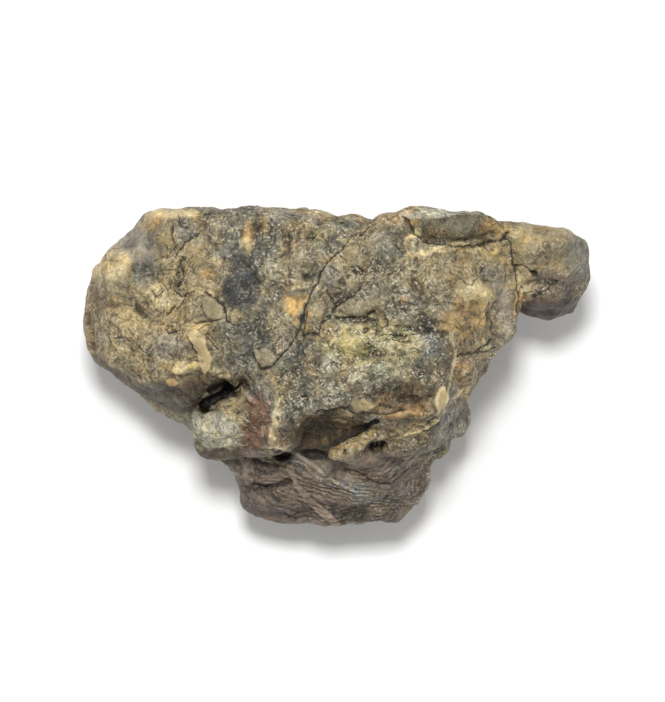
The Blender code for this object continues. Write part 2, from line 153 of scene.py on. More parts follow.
@dataclass(frozen=True)
class Noise:
    """Noise over points in space, the same on every run: each seed looks at its own part of one field.

    Size is the width of the widest swell or of one grain, in millimetres. Layers is how often it halves.
    """

    seed: int
    size: float
    layers: int = 3

    def _places(self, points: Rows) -> list[list[float]]:
        """Where points in millimetres lie in the field."""
        return (points / self.size + self.seed * SEED_STEP).tolist()

    def fractal(self, points: Rows) -> Rows:
        """Smooth noise with finer noise on it, about from -1 to 1."""
        return np.array([noise.fractal(place, 1.0, 2.0, self.layers) for place in self._places(points)])

    def sway(self, points: Rows) -> Rows:
        """Smooth noise in three directions."""
        return np.array([noise.noise_vector(place) for place in self._places(points)])

    def grains(self, points: Rows) -> tuple[Rows, Rows]:
        """Breaks space into grains.

        Args:
            points: places in millimetres.

        Returns:
            The distance to the grain's middle in grain widths, and a number from 0 to 1 for each grain.
        """
        found = [noise.voronoi(place) for place in self._places(points)]
        away = np.array([distances[0] for distances, _ in found])
        middles = np.array([places[0] for _, places in found])
        return away, np.abs(np.sin(middles @ SCATTER) * SCATTER_BY) % 1.0


@dataclass(frozen=True)
class Sight:
    """The camera: straight above the stone, with the broad face across the frame."""

    x: float = -0.49
    y: float = 2.25
    height: float = 552.0
    face_height: float = 22.0
    lens: float = 200.8
    sensor: float = 36.0
    nearest_m: float = 0.01

    @property
    def focal_px(self) -> float:
        """The focal length in pixels: the sensor's width lies along the frame's long side."""
        return self.lens / self.sensor * max(FRAME_WIDTH_PX, FRAME_HEIGHT_PX)

    def picture_points(self, points: Rows) -> Rows:
        """Where places in millimetres show in the frame, in pixels from its upper left corner.

        Args:
            points: places in millimetres.

        Returns:
            Each place's two numbers.
        """
        scale = self.focal_px / (self.height - points[:, 2])
        across = FRAME_WIDTH_PX / 2 + (points[:, 0] - self.x) * scale
        down = FRAME_HEIGHT_PX / 2 - (points[:, 1] - self.y) * scale
        return np.stack([across, down], axis=1)

    @property
    def px_per_mm(self) -> float:
        """Pixels for a millimetre on the broad face."""
        return self.focal_px / (self.height - self.face_height)

    def build(self) -> bpy.types.Object:
        """Makes the camera.

        Returns:
            The camera.
        """
        camera = bpy.data.objects.new("camera", bpy.data.cameras.new("camera"))
        camera.data.lens = self.lens
        camera.data.sensor_width = self.sensor
        camera.data.clip_start = self.nearest_m
        camera.location = Vector((self.x, self.y, self.height)) * MM
        bpy.context.scene.collection.objects.link(camera)
        bpy.context.scene.camera = camera
        return camera


SIGHT = Sight()


def distance_to_run(seen: Rows, start: Pixel, end: Pixel) -> Rows:
    """The distance of picture points from one straight run, below zero on one side of it.

    Args:
        seen: picture points, in pixels.
        start: the run's first picture point.
        end: its last one.

    Returns:
        The distances in pixels.
    """
    run = np.subtract(end, start).astype(float)
    away = seen - start
    share = np.clip(away @ run / (run @ run), 0.0, 1.0)
    gap = away - share[:, None] * run
    side = np.where(run[0] * away[:, 1] - run[1] * away[:, 0] < 0, -1.0, 1.0)
    return np.hypot(gap[:, 0], gap[:, 1]) * side


def distance_to_path(seen: Rows, path: tuple[Pixel, ...]) -> Rows:
    """The distance of picture points from a path, in pixels, below zero on one side.

    Args:
        seen: picture points, in pixels.
        path: the path's picture points.

    Returns:
        The distances in pixels.
    """
    signed = np.full(len(seen), np.inf)
    for start, end in zip(path, path[1:]):
        gap = distance_to_run(seen, start, end)
        signed = np.where(np.abs(gap) < np.abs(signed), gap, signed)
    return signed


def depth_inside(seen: Rows, outline: tuple[Pixel, ...]) -> Rows:
    """How deep picture points lie inside an outline, in pixels, below zero outside it.

    Args:
        seen: picture points, in pixels.
        outline: the outline's picture points.

    Returns:
        The depths in pixels.
    """
    gap = np.full(len(seen), np.inf)
    inside = np.zeros(len(seen), bool)
    for start, end in zip(outline, outline[1:] + outline[:1]):
        gap = np.minimum(gap, np.abs(distance_to_run(seen, start, end)))
        if start[1] == end[1]:
            continue
        spans = (start[1] > seen[:, 1]) != (end[1] > seen[:, 1])
        slant = (end[0] - start[0]) / (end[1] - start[1])
        inside ^= spans & (seen[:, 0] < start[0] + (seen[:, 1] - start[1]) * slant)
    return np.where(inside, gap, -gap)


def egg_distance(seen: Rows, at: Pixel, reach: Pixel, turn: float) -> Rows:
    """How far picture points lie from the middle of an egg shape turned by degrees: 1 is on its edge.

    Args:
        seen: picture points, in pixels.
        at: the picture point of its middle.
        reach: its half widths along and across, in pixels.
        turn: how far it is turned to the left, in degrees.

    Returns:
        The distances, in shares of the reach.
    """
    angle = math.radians(turn)
    away = seen - at
    along = (away[:, 0] * math.cos(angle) - away[:, 1] * math.sin(angle)) / reach[0]
    across = (away[:, 0] * math.sin(angle) + away[:, 1] * math.cos(angle)) / reach[1]
    return np.hypot(along, across)


@dataclass(frozen=True)
class Patch:
    """A stain, a zone of the rind, a painted shade or a painted highlight: an egg shape with a ragged edge.

    Its flecks are pale crystals and its pits dark pores, both from 0 to 1, or as around it where they are
    None. Smooth quiets the relief. Proud is in millimetres.
    """

    name: str
    tint: Tint
    at: Pixel
    reach: Pixel
    turn: float = 0.0
    strength: float = 0.6
    ragged: float = 0.35
    soft: float = 0.8
    flecks: float | None = None
    pits: float | None = None
    smooth: float = 0.0
    proud: float = 0.0
    gloss: float = 0.0

    def weight(self, seen: Rows, warp: Rows) -> Rows:
        """How much of the patch each picture point gets."""
        edge = egg_distance(seen, self.at, self.reach, self.turn) + warp * self.ragged
        return ramp(-edge, -1.0 - self.soft / 2, -1.0 + self.soft / 2)


@dataclass(frozen=True)
class Clast(Patch):
    """A patch with corners: the outline's picture points take the place of the egg shape.

    Soft is the width of its edge in pixels, and ragged how far the edge wanders in pixels.
    """

    at: Pixel = (0, 0)
    reach: Pixel = (0, 0)
    outline: tuple[Pixel, ...] = ()
    strength: float = 0.9
    ragged: float = 2.0
    soft: float = 2.5
    flecks: float | None = 0.0
    pits: float | None = 0.0

    def weight(self, seen: Rows, warp: Rows) -> Rows:
        """How much of the patch each picture point gets."""
        depth = depth_inside(seen, self.outline) + warp * self.ragged
        return ramp(depth, -self.soft / 2, self.soft / 2)


@dataclass(frozen=True)
class Lump:
    """A swelling of the face, or a hollow where its rise in millimetres is below zero."""

    name: str
    at: Pixel
    reach: Pixel
    turn: float
    rise: float
    ragged: float = 0.12
    fullness: float = 1.4

    def height(self, seen: Rows, warp: Rows) -> Rows:
        """Its height at each picture point, in millimetres."""
        edge = egg_distance(seen, self.at, self.reach, self.turn) + warp * self.ragged
        return np.clip(1 - edge ** 2, 0, 1) ** self.fullness * self.rise


@dataclass(frozen=True)
class Fold:
    """Layers that run side by side, from a first line of picture points to a last one.

    Rise is in millimetres, and soft is the width of the zone's edge in pixels.
    """

    name: str
    first: tuple[Pixel, ...]
    last: tuple[Pixel, ...]
    count: float
    rise: float
    strength: float = 1.0
    soft: float = 10.0

    def phase(self, seen: Rows) -> Rows:
        """Where each picture point lies across the layers: 0 at the first line, the count at the last.

        Args:
            seen: picture points, in pixels.

        Returns:
            The phase of each point.
        """
        near = np.abs(distance_to_path(seen, self.first))
        far = np.abs(distance_to_path(seen, self.last))
        return near / (near + far) * self.count

    def zone(self, seen: Rows) -> Rows:
        """How far each picture point is within the layers, from 0 to 1."""
        depth = depth_inside(seen, self.first + self.last[::-1])
        return ramp(depth, -self.soft / 2, self.soft / 2) * self.strength


@dataclass(frozen=True)
class Line:
    """A crack, a crease or a thin ridge along picture points.

    Sizes are in millimetres. A crack's rise is below zero. Hair is the width of the black hairline along its
    bottom, or 0 where it has none. Wander is how far the line strays.
    """

    name: str
    path: tuple[Pixel, ...]
    width: float = 0.7
    rise: float = -0.3
    hair: float = 0.16
    tint: Tint | None = None
    wander: float = 0.22


Ridges = list[tuple[Tint, Rows]]

# The marks follow. Where they overlap, a later patch lies over an earlier one. T shortens the rows.
T = Tint

LEFT_BLOCK_PATCHES = [
    Patch("left clay", T.TAN_CLAY, (165, 310), (92, 100), strength=0.75, soft=0.6, flecks=0.35, pits=0.55),
    Patch("upper chamfer", T.LAVENDER_GREY, (130, 240), (20, 42), 38, strength=0.8, soft=0.5, flecks=0.15,
        pits=0.2, smooth=0.6),
    Patch("end tan", T.LIGHT_TAN, (112, 268), (21, 20), 30, strength=0.7, soft=0.5, pits=0.3, smooth=0.3),
    Patch("end highlight", T.CREAM, (117, 264), (9, 8), strength=0.35, soft=0.9, smooth=0.4),
    Patch("end orange", T.OCHRE, (107, 262), (8, 10), 30, strength=0.5, soft=0.9),
    Patch("end brown", T.BROWN_STAIN, (97, 305), (14, 26), 5, strength=0.75, smooth=0.3),
    Patch("end brown low", T.BROWN_STAIN, (96, 335), (8, 14), strength=0.4, soft=0.9),
    Patch("top tan edge", T.LIGHT_TAN, (170, 213), (28, 6), -4, strength=0.9, soft=0.5, pits=0, smooth=0.6),
    Patch("corner ochre", T.OCHRE, (153, 224), (12, 9), 30, smooth=0.4),
    Patch("upper olive", T.OLIVE_MATRIX, (163, 238), (16, 14), strength=0.7, flecks=0.3),
    Patch("upper lavender", T.LAVENDER_GREY, (188, 233), (13, 15), strength=0.75, soft=0.7, flecks=0.5,
        pits=0.4),
    Patch("pale leaf", T.TAN_CLAY, (192, 247), (7, 16), -42, strength=0.8, soft=0.5, pits=0, smooth=0.7),
    Patch("grey pool", T.GREY_MATRIX, (148, 275), (20, 13), -20, strength=0.9, soft=0.6, flecks=0.3,
        pits=0.3),
    Patch("scaly clay", T.TAN_CLAY, (172, 292), (26, 22), -30, strength=0.8, flecks=0.55, pits=0.8),
    Patch("pale scales", T.LIGHT_TAN, (168, 298), (20, 13), -40, strength=0.65, ragged=0.8, soft=0.9,
        pits=0.8),
    Patch("lower clay", T.TAN_CLAY, (127, 335), (28, 26), -35, strength=0.75, flecks=0.6, pits=0.7),
    Patch("lower yellow", T.LIGHT_TAN, (132, 322), (14, 9), -60, strength=0.45, ragged=0.8, soft=0.9),
    Patch("grey shelf", T.LAVENDER_GREY, (168, 346), (22, 12), -10, strength=0.55, flecks=0.5, pits=0.5),
    Patch("warm stripe", T.LIGHT_TAN, (217, 246), (6, 24), 4, ragged=0.6, soft=0.9, flecks=0.5),
    Patch("warm stripe top", T.LAVENDER_GREY, (225, 248), (5, 16), 8, strength=0.5, soft=0.9),
    Patch("orange spot", T.ORANGE_STAIN, (207, 275), (7, 6), strength=0.5, soft=0.9),
    Patch("block cap", T.LIGHT_TAN, (207, 295), (8, 5), -30, strength=0.5),
    Patch("clast bed", T.LIGHT_TAN, (192, 362), (26, 9), 18, strength=0.75, soft=0.6, pits=0.5),
    Patch("clast bed top", T.LIGHT_TAN, (196, 330), (12, 6), -12, soft=0.6),
    Patch("ring clast", T.CREAM, (182, 369), (8, 6), strength=0.3),
    # Painted shade under the left block and above the notch, where the block overhangs.
    Patch("shade above the notch", T.UMBER, (208, 383), (36, 9), -14, strength=0.8, flecks=0.15),
    Patch("grey shade under the block", T.DARK_GLASS, (166, 398), (26, 13), -24, strength=0.8, soft=0.7, flecks=0.1,
        smooth=0.4),
    Patch("brown shade under the block", T.UMBER, (200, 396), (26, 14), -24, strength=0.85, soft=0.7, flecks=0.1),
    Patch("rim shade", T.LOBE_DARK, (122, 382), (46, 8), -38, strength=0.8, soft=0.9, flecks=0.1,
        smooth=0.5),
]

MIDDLE_PATCHES = [
    Patch("top grey", T.GREY_MATRIX, (250, 235), (42, 28), strength=0.8, soft=0.7, flecks=0.65, pits=0.5),
    Patch("blue glass", T.DARK_GLASS, (243, 283), (19, 36), -6, strength=0.95, soft=0.6, flecks=0.3,
        pits=0.4),
    Patch("blue glass core", T.NIGHT_GLASS, (240, 288), (14, 22), -12, soft=1, flecks=0.2),
    Patch("below glass", T.GREY_MATRIX, (243, 345), (30, 30), strength=0.85, soft=0.7, flecks=0.5,
        pits=0.5),
    Patch("dark glass low", T.DARK_GLASS, (262, 325), (20, 18), 30, strength=0.75, flecks=0.4, pits=0.4),
    Patch("glass tan", T.TAN_CLAY, (237, 318), (7, 8), strength=0.45),
    Patch("top green", T.OLIVE_MATRIX, (233, 220), (30, 10), 6, soft=0.7, flecks=0.6, smooth=0.4),
    Patch("ochre streak", T.OCHRE, (249, 232), (5, 15), -4, strength=0.8, ragged=0.6),
    Patch("ochre streak two", T.OCHRE, (264, 226), (4, 9), -4, strength=0.7, ragged=0.6),
    Patch("cream foot", T.CREAM, (246, 247), (5, 7), strength=0.5, ragged=0.8, soft=0.9),
    Patch("grey streak", T.PALE_FELDSPAR, (277, 256), (8, 22), -8, strength=0.5, ragged=0.6, soft=0.9,
        flecks=0.8),
    Patch("warm fold", T.TAN_CLAY, (286, 270), (5, 14), 20, soft=0.9),
    Patch("brown field", T.BROWN_STAIN, (298, 243), (20, 20), strength=0.45, flecks=0.5, pits=0.5),
    Patch("green field", T.GREY_MATRIX, (330, 236), (24, 14), 12, strength=0.75, soft=0.7, flecks=0.85,
        pits=0.6),
    Patch("yellow green eye", T.YELLOW_GREEN, (315, 236), (7, 8), -20, strength=0.7),
    Patch("top ledge", T.BROWN_STAIN, (326, 216), (42, 4), 4, strength=0.55, soft=0.7, smooth=0.6),
    Patch("top ledge pale", T.LIGHT_TAN, (322, 212), (16, 3), 4, smooth=0.6),
    Patch("top ledge lavender", T.LAVENDER_GREY, (300, 218), (18, 4), -8, smooth=0.6),
    Patch("olive field", T.OLIVE_MATRIX, (306, 268), (18, 14), strength=0.7, flecks=0.3, pits=0.3),
    Patch("crack lip", T.CREAM, (300, 285), (14, 3.5), 6, strength=0.7, ragged=0.6),
    Patch("wedge rim", T.LIGHT_TAN, (288, 312), (13, 20), -20, strength=0.5, ragged=0.5, soft=0.9),
    Patch("cream corner", T.CREAM, (289, 313), (6, 7), 30, strength=0.75, ragged=0.7, soft=0.7),
]

CENTRE_PATCHES = [
    Patch("centre matrix", T.OLIVE_MATRIX, (380, 300), (95, 92), strength=0.7, soft=0.5, flecks=0.6,
        pits=0.5),
    Patch("upper rim tan", T.OCHRE, (392, 218), (32, 8), -4, strength=0.55, pits=0.5),
    Patch("upper rim clay", T.TAN_CLAY, (375, 238), (22, 12), 20, smooth=0.3),
    Patch("upper green", T.GREY_MATRIX, (392, 248), (18, 20), -20, flecks=0.4),
    Patch("crack shoulder", T.ORANGE_STAIN, (330, 260), (11, 4), 30, strength=0.35, soft=0.9),
    Patch("pale scales right", T.LIGHT_TAN, (355, 262), (17, 13), ragged=0.6, flecks=0.7),
    Patch("brown pit", T.UMBER, (356, 272), (7, 6), strength=0.85, ragged=0.8, pits=1, proud=-0.35),
    Patch("dark spot", T.DARK_GLASS, (378, 264), (8, 7), strength=0.75, soft=0.9),
    Patch("lavender cheek", T.LAVENDER_GREY, (328, 276), (11, 12), strength=0.75, flecks=0.5),
    Patch("grey junction", T.LOBE_DARK, (340, 297), (12, 7), 24, strength=0.7, soft=0.9),
    Patch("lens", T.OLIVE_MATRIX, (357, 308), (20, 10), 14, strength=0.8, soft=0.6, flecks=0.4, pits=0.2,
        smooth=0.5),
    Patch("lens shade", T.UMBER, (380, 311), (11, 7), -6, strength=0.55, soft=0.9, smooth=0.5),
    Patch("blue right of lens", T.BLUE_GLASS, (408, 302), (13, 10), -20, strength=0.55, soft=0.9,
        flecks=0.7),
    Patch("clay right", T.TAN_CLAY, (425, 275), (24, 22), strength=0.55, flecks=0.7, pits=0.4),
    Patch("orange crumbs", T.ORANGE_STAIN, (404, 300), (5, 4), strength=0.45, soft=0.9),
    Patch("yellow field", T.YELLOW_GREEN, (372, 345), (46, 24), -6, soft=0.7, flecks=0.95, pits=0.4),
    Patch("yellow cream", T.LIGHT_TAN, (350, 333), (26, 9), 10, strength=0.5, ragged=0.8, soft=0.9,
        flecks=1),
    Patch("yellow cream low", T.LIGHT_TAN, (390, 356), (14, 10), 40, strength=0.5, ragged=0.8, soft=0.9,
        flecks=1),
    Patch("green pool", T.YELLOW_GREEN, (350, 345), (14, 12), strength=0.3, flecks=0.5, smooth=0.4),
    Patch("orange nest", T.OCHRE, (325, 333), (8, 5), 20, strength=0.7),
    Patch("blue rim", T.BLUE_GLASS, (433, 345), (14, 20), strength=0.7, flecks=0.7, pits=0.3),
    Patch("blue cap", T.BLUE_GLASS, (432, 322), (14, 8), strength=0.4, soft=0.9, flecks=0.6),
    Patch("blue low", T.DARK_GLASS, (425, 372), (20, 12), strength=0.65, flecks=0.6, pits=0.4),
    Patch("cream rim crumbs", T.CREAM, (411, 343), (12, 6), -14, strength=0.45, ragged=0.8, soft=0.9),
    Patch("white spray", T.PALE_FELDSPAR, (330, 362), (9, 7), strength=0.55, ragged=0.8, flecks=1),
    Patch("white spray low", T.PALE_FELDSPAR, (331, 388), (9, 5), strength=0.55, ragged=0.8, flecks=1),
    Patch("grey column", T.DARK_GLASS, (320, 375), (5, 17), strength=0.5, flecks=0.6),
    Patch("tan column", T.TAN_CLAY, (308, 366), (5, 18), -4, flecks=0.7),
    Patch("left foot grey", T.DARK_GLASS, (296, 385), (17, 24), strength=0.65, flecks=0.55, pits=0.4),
    Patch("low grey", T.GREY_MATRIX, (330, 402), (30, 10), strength=0.7, flecks=0.8, pits=0.5),
    Patch("striated", T.PALE_FELDSPAR, (372, 370), (24, 7), 22, strength=0.4, ragged=0.7, soft=0.9,
        flecks=1),
    Patch("ledge umber", T.UMBER, (400, 396), (40, 11), 10, strength=0.95, ragged=0.6, flecks=0.15, pits=1),
    Patch("ledge brown", T.BROWN_STAIN, (392, 407), (44, 9), 5, strength=0.8, flecks=0.15, pits=0.9),
    Patch("ledge orange", T.OCHRE, (412, 414), (26, 6), 12, strength=0.45, soft=0.9, pits=0.4),
    Patch("rust foot", T.RUST, (250, 450), (10, 8), strength=0.55, soft=0.9, flecks=0.1),
    Patch("rust upper", T.LAVENDER_GREY, (262, 392), (16, 12), -30, strength=0.5, flecks=0.5),
    Patch("cream band", T.LIGHT_TAN, (276, 418), (4.5, 30), -8, strength=0.8, ragged=0.6, flecks=0.5),
    Patch("cream band foot", T.OCHRE, (283, 445), (5, 7), strength=0.5),
    Patch("tongue", T.DARK_GLASS, (297, 418), (12, 28), -6, strength=0.85, soft=0.7, flecks=0.65, pits=0.5),
    Patch("notch lip", T.LIGHT_TAN, (240, 392), (34, 3), -43, strength=0.95, ragged=0.5, flecks=0.4),
    # Painted shade on the underside of the toe, turned from the light.
    Patch("toe underside shade", T.UMBER, (222, 459), (42, 14), 14, strength=0.95, soft=0.6, flecks=0.1, smooth=0.4),
]

RECESS_PATCHES = [
    # Painted shade in the recess under the ledge.
    Patch("recess", T.UMBER, (325, 433), (42, 21), -4, strength=0.95, soft=0.5, flecks=0.05, pits=0.9),
    Patch("recess back", T.BROWN_STAIN, (322, 420), (28, 5), strength=0.3, ragged=0.7),
    Patch("recess shelf", T.TAN_CLAY, (343, 418), (10, 5), soft=0.6, smooth=0.4),
    # Painted shade in the hole.
    Patch("lump hole", T.UMBER, (378, 447), (8, 6), strength=0.85, soft=0.9, proud=-0.4),
    Patch("right slope", T.BROWN_STAIN, (405, 440), (26, 22), -30, strength=0.7, soft=0.6, flecks=0.4,
        pits=0.5),
    Patch("right slope clay", T.TAN_CLAY, (412, 428), (20, 8), 10, strength=0.5, ragged=0.6),
    Patch("right slope green", T.OLIVE_MATRIX, (418, 450), (14, 14), flecks=0.5),
    # Painted shade in the holes below the tongue's tip.
    Patch("dark hole left", T.BLACK, (284, 456), (10, 6), 8, strength=0.9, soft=0.5),
    Patch("dark hole right", T.BLACK, (315, 456), (15, 5), -10, strength=0.85, soft=0.6),
]

KEEL_PATCHES = [
    Patch("keel", T.LOBE_BROWN, (330, 492), (112, 48), strength=0.9, soft=0.3, flecks=0.05, pits=0.2,
        smooth=0.55),
    Patch("keel left dark", T.LOBE_DARK, (262, 500), (30, 20), strength=0.7, smooth=0.5),
    Patch("keel facet", T.LOBE_BROWN, (270, 475), (20, 7), 10, strength=0.8, soft=0.5, smooth=0.7,
        proud=0.2),
    Patch("keel shelf pale", T.LAVENDER_GREY, (338, 480), (44, 9), -22, strength=0.75, ragged=0.6),
    Patch("keel shelf pale two", T.LAVENDER_GREY, (392, 494), (30, 7), 14, strength=0.7, ragged=0.6),
    Patch("keel shelf dark", T.LOBE_DARK, (340, 514), (64, 9), -4, strength=0.75, ragged=0.6),
    Patch("keel shelf dark two", T.LOBE_DARK, (375, 478), (24, 4), -10, strength=0.5, ragged=0.6),
    Patch("keel right rind", T.VEIN, (424, 476), (18, 36), 14, strength=0.75, smooth=0.6),
    Patch("vein head", T.OLIVE_MATRIX, (290, 468), (7, 13), 16, strength=0.8),
]

FLANK_PATCHES = [
    Patch("flank clay", T.TAN_CLAY, (480, 285), (40, 48), strength=0.8, soft=0.5, flecks=0.4, pits=0.35),
    Patch("flank highlight", T.CREAM, (477, 290), (22, 10), 8, strength=0.55, soft=1, flecks=0.4,
        smooth=0.5),
    Patch("flank grey", T.GREY_MATRIX, (492, 276), (14, 12), strength=0.5, flecks=0.6),
    Patch("flank orange", T.OCHRE, (466, 322), (24, 22), 10, soft=0.9, flecks=0.2, pits=0.6),
    Patch("flank orange core", T.ORANGE_STAIN, (462, 314), (12, 10), strength=0.15, soft=1),
    Patch("flank edge grey", T.LAVENDER_GREY, (504, 308), (9, 30), 8, strength=0.7, smooth=0.5),
    Patch("flank brown", T.BROWN_STAIN, (470, 368), (18, 26), 24, strength=0.8, soft=0.6, pits=0.4,
        smooth=0.4),
    Patch("flank brown orange", T.OCHRE, (462, 380), (8, 20), 20, strength=0.4),
    Patch("hip grey", T.LAVENDER_GREY, (457, 425), (16, 32), 8, strength=0.85, soft=0.6, flecks=0.15,
        smooth=0.5),
    Patch("hip rind", T.LAVENDER_GREY, (450, 440), (8, 20), 24, strength=0.5, smooth=0.5),
    Patch("neck orange", T.LIGHT_ORANGE, (519, 306), (5, 14), -10),
    Patch("neck wedge", T.LIGHT_TAN, (526, 284), (9, 17), -12, strength=0.8, soft=0.4, smooth=0.3),
    Patch("neck wedge foot", T.LIGHT_ORANGE, (524, 300), (6, 9), strength=0.8),
]

HORN_PATCHES = [
    Patch("horn clay", T.TAN_CLAY, (548, 246), (44, 26), 12, strength=0.9, soft=0.4, flecks=0.25, pits=0.2,
        smooth=0.5),
    Patch("horn olive", T.OLIVE_MATRIX, (545, 252), (22, 12), 10, strength=0.5, soft=0.9, flecks=0.4),
    Patch("horn ochre", T.LIGHT_TAN, (520, 236), (12, 9), 10, strength=0.7),
    Patch("horn join", T.OCHRE, (505, 232), (9, 8), soft=0.9),
    Patch("horn end", T.GREY_MATRIX, (580, 262), (15, 32), 10, strength=0.85, flecks=0.2, smooth=0.5),
    Patch("horn pink", T.LOBE_BROWN, (560, 285), (28, 14), -6, strength=0.85, soft=0.7, smooth=0.6),
    # Painted shade: the underside of the horn, turned from the light, is painted dark.
    Patch("horn underside shade", T.LOBE_DARK, (552, 307), (36, 15), 4, strength=1, soft=0.6, flecks=0.05,
        smooth=0.6),
    # Painted shade in the hole at the horn's neck.
    Patch("neck hole", T.BLACK, (534, 273), (4, 4), strength=0.9, soft=0.5, proud=-0.4),
    Patch("brow dark", T.OLIVE_SHADE, (455, 227), (52, 14), 8, strength=0.9, soft=0.5, flecks=0.2, pits=0.5,
        smooth=0.3),
    Patch("brow grey", T.GREY_MATRIX, (465, 224), (22, 5), 10, strength=0.4, smooth=0.5),
    Patch("brow left ochre", T.OCHRE, (412, 217), (9, 9), strength=0.85, soft=0.7, pits=0.4),
    Patch("brow top pale", T.PALE_FELDSPAR, (455, 209), (50, 5), 9, strength=0.85, soft=0.7, smooth=0.4),
    Patch("brow right", T.OCHRE, (492, 226), (14, 9), 12),
    Patch("brow foot", T.BROWN_STAIN, (430, 236), (16, 5), 28, flecks=0.6),
    Patch("cream fringe", T.LIGHT_TAN, (438, 249), (26, 3.6), 10, strength=0.9, ragged=0.6, pits=0.4),
    Patch("cream fringe left", T.CREAM, (413, 237), (4, 12), -40, strength=0.7, ragged=0.6),
    Patch("cream fringe right", T.LIGHT_TAN, (478, 250), (20, 4), -6, strength=0.5, ragged=0.6),
]

CLASTS = [
    Clast("cream clast", T.CLAST_TAN, strength=0.95, flecks=0.05, smooth=0.9, proud=0.28,
        outline=((184, 334), (195, 328), (205, 334), (207, 346), (211, 357), (210, 369), (204, 375),
        (199, 362), (195, 349), (188, 339))),
    Clast("block face", T.OLIVE_MATRIX, strength=0.55, flecks=0.1, smooth=0.85, proud=0.28,
        outline=((203, 297), (214, 298), (222, 305), (224, 316), (219, 320), (208, 318), (203, 308))),
    Clast("ochre clast", T.OCHRE, strength=0.6, smooth=0.9, proud=0.3, outline=((166, 379), (174, 378),
        (178, 383), (175, 388), (168, 388))),
    Clast("orange wedge", T.LIGHT_ORANGE, strength=1, ragged=4, soft=5, flecks=0.12, pits=0.1, smooth=0.5,
        proud=-0.2, outline=((284, 297), (297, 295), (308, 294), (305, 306), (300, 316), (297, 330),
        (292, 320), (285, 308))),
    Clast("orange foot", T.OCHRE, strength=0.8, flecks=0.3, pits=None, outline=((305, 308), (312, 308),
        (312, 331), (304, 333), (304, 322))),
    Clast("grey slab", T.OLIVE_MATRIX, strength=0.95, smooth=0.8, proud=0.2, outline=((285, 289),
        (297, 291), (309, 288), (307, 295), (296, 297), (286, 295))),
    Clast("dark plug", T.DARK_GLASS, strength=0.95, ragged=0.6, soft=1.4, pits=0.4, smooth=0.5, proud=-0.2,
        outline=((300, 313), (305, 313), (305, 324), (299, 324))),
    Clast("crack clast", T.TAN_CLAY, strength=0.3, soft=6, flecks=0.15, pits=0.1, smooth=0.5, proud=0.2,
        outline=((256, 352), (264, 346), (272, 350), (275, 358), (268, 366), (260, 368), (256, 361))),
    Clast("ledge clast", T.TAN_CLAY, strength=0.8, ragged=3.5, soft=5, flecks=0.1, pits=0.1, smooth=0.6,
        proud=0.28, outline=((347, 404), (357, 399), (368, 400), (374, 406), (368, 412), (357, 413))),
    Clast("rim clast", T.LIGHT_TAN, strength=0.95, smooth=0.97, proud=0.25, outline=((434, 400), (438, 388),
        (445, 385), (446, 396), (443, 408), (436, 413))),
    Clast("notch glass", T.BLACK, strength=0.97, pits=1, smooth=0.2, proud=-0.5, gloss=0.8,
        outline=((197, 410), (203, 394), (212, 386), (233, 380), (243, 383), (228, 394), (215, 409),
        (203, 415))),
    # Painted glints on the black glass of the notch.
    Clast("notch glint", T.CRYSTAL_AND_GLINT, ragged=0.8, soft=1.5, gloss=0.6, outline=((201, 400), (206, 396),
        (213, 397), (210, 400), (205, 401))),
    Clast("notch glint two", T.CRYSTAL_AND_GLINT, strength=0.8, ragged=0.8, soft=1.5, gloss=0.6, outline=((207, 405),
        (212, 402), (216, 403), (212, 406))),
    Clast("notch glint three", T.CRYSTAL_AND_GLINT, ragged=0.8, soft=1.5, gloss=0.6, outline=((231, 384), (236, 379),
        (240, 378), (238, 382), (234, 386))),
    Clast("notch shade", T.UMBER, soft=8, flecks=0.1, pits=0.8, outline=((176, 392), (200, 377), (226, 374),
        (236, 380), (214, 387), (205, 393), (198, 410), (186, 412))),
    Clast("toe pale", T.PALE_FELDSPAR, strength=0.65, ragged=5, soft=9, flecks=0.8, pits=0.5,
        outline=((191, 425), (196, 415), (221, 411), (238, 424), (243, 444), (228, 449), (205, 444),
        (195, 436))),
    Clast("rust field", T.RUST, strength=0.8, ragged=5, soft=11, flecks=0.3, pits=0.5, outline=((247, 402),
        (262, 392), (272, 400), (268, 420), (262, 440), (247, 458), (240, 448), (244, 420))),
    # Painted shade in the slot under the ledge.
    Clast("slot", T.UMBER, ragged=3.5, soft=5, pits=0.8, smooth=0.2, proud=-0.5, outline=((337, 441),
        (342, 431), (356, 426), (377, 422), (369, 429), (352, 436))),
    Clast("crystal lump", T.TAN_CLAY, strength=0.75, flecks=0.9, pits=0.9, proud=0.3, outline=((330, 449),
        (340, 441), (352, 436), (370, 428), (378, 428), (379, 434), (364, 446), (362, 456), (348, 460),
        (334, 458))),
    Clast("crystal crown", T.OCHRE, strength=0.45, flecks=1, pits=0.8, outline=((334, 448), (352, 437),
        (374, 429), (376, 434), (358, 443), (340, 452))),
    Clast("vein", T.VEIN, strength=1, ragged=0.8, soft=2, smooth=1, proud=0.2, outline=((286, 466),
        (293, 463), (298, 482), (312, 497), (328, 510), (343, 525), (336, 527), (318, 513), (304, 500),
        (292, 484))),
]

PATCHES = [
    *LEFT_BLOCK_PATCHES,
    *MIDDLE_PATCHES,
    *CENTRE_PATCHES,
    *KEEL_PATCHES,
    *RECESS_PATCHES,
    *FLANK_PATCHES,
    *HORN_PATCHES,
    *CLASTS,
]

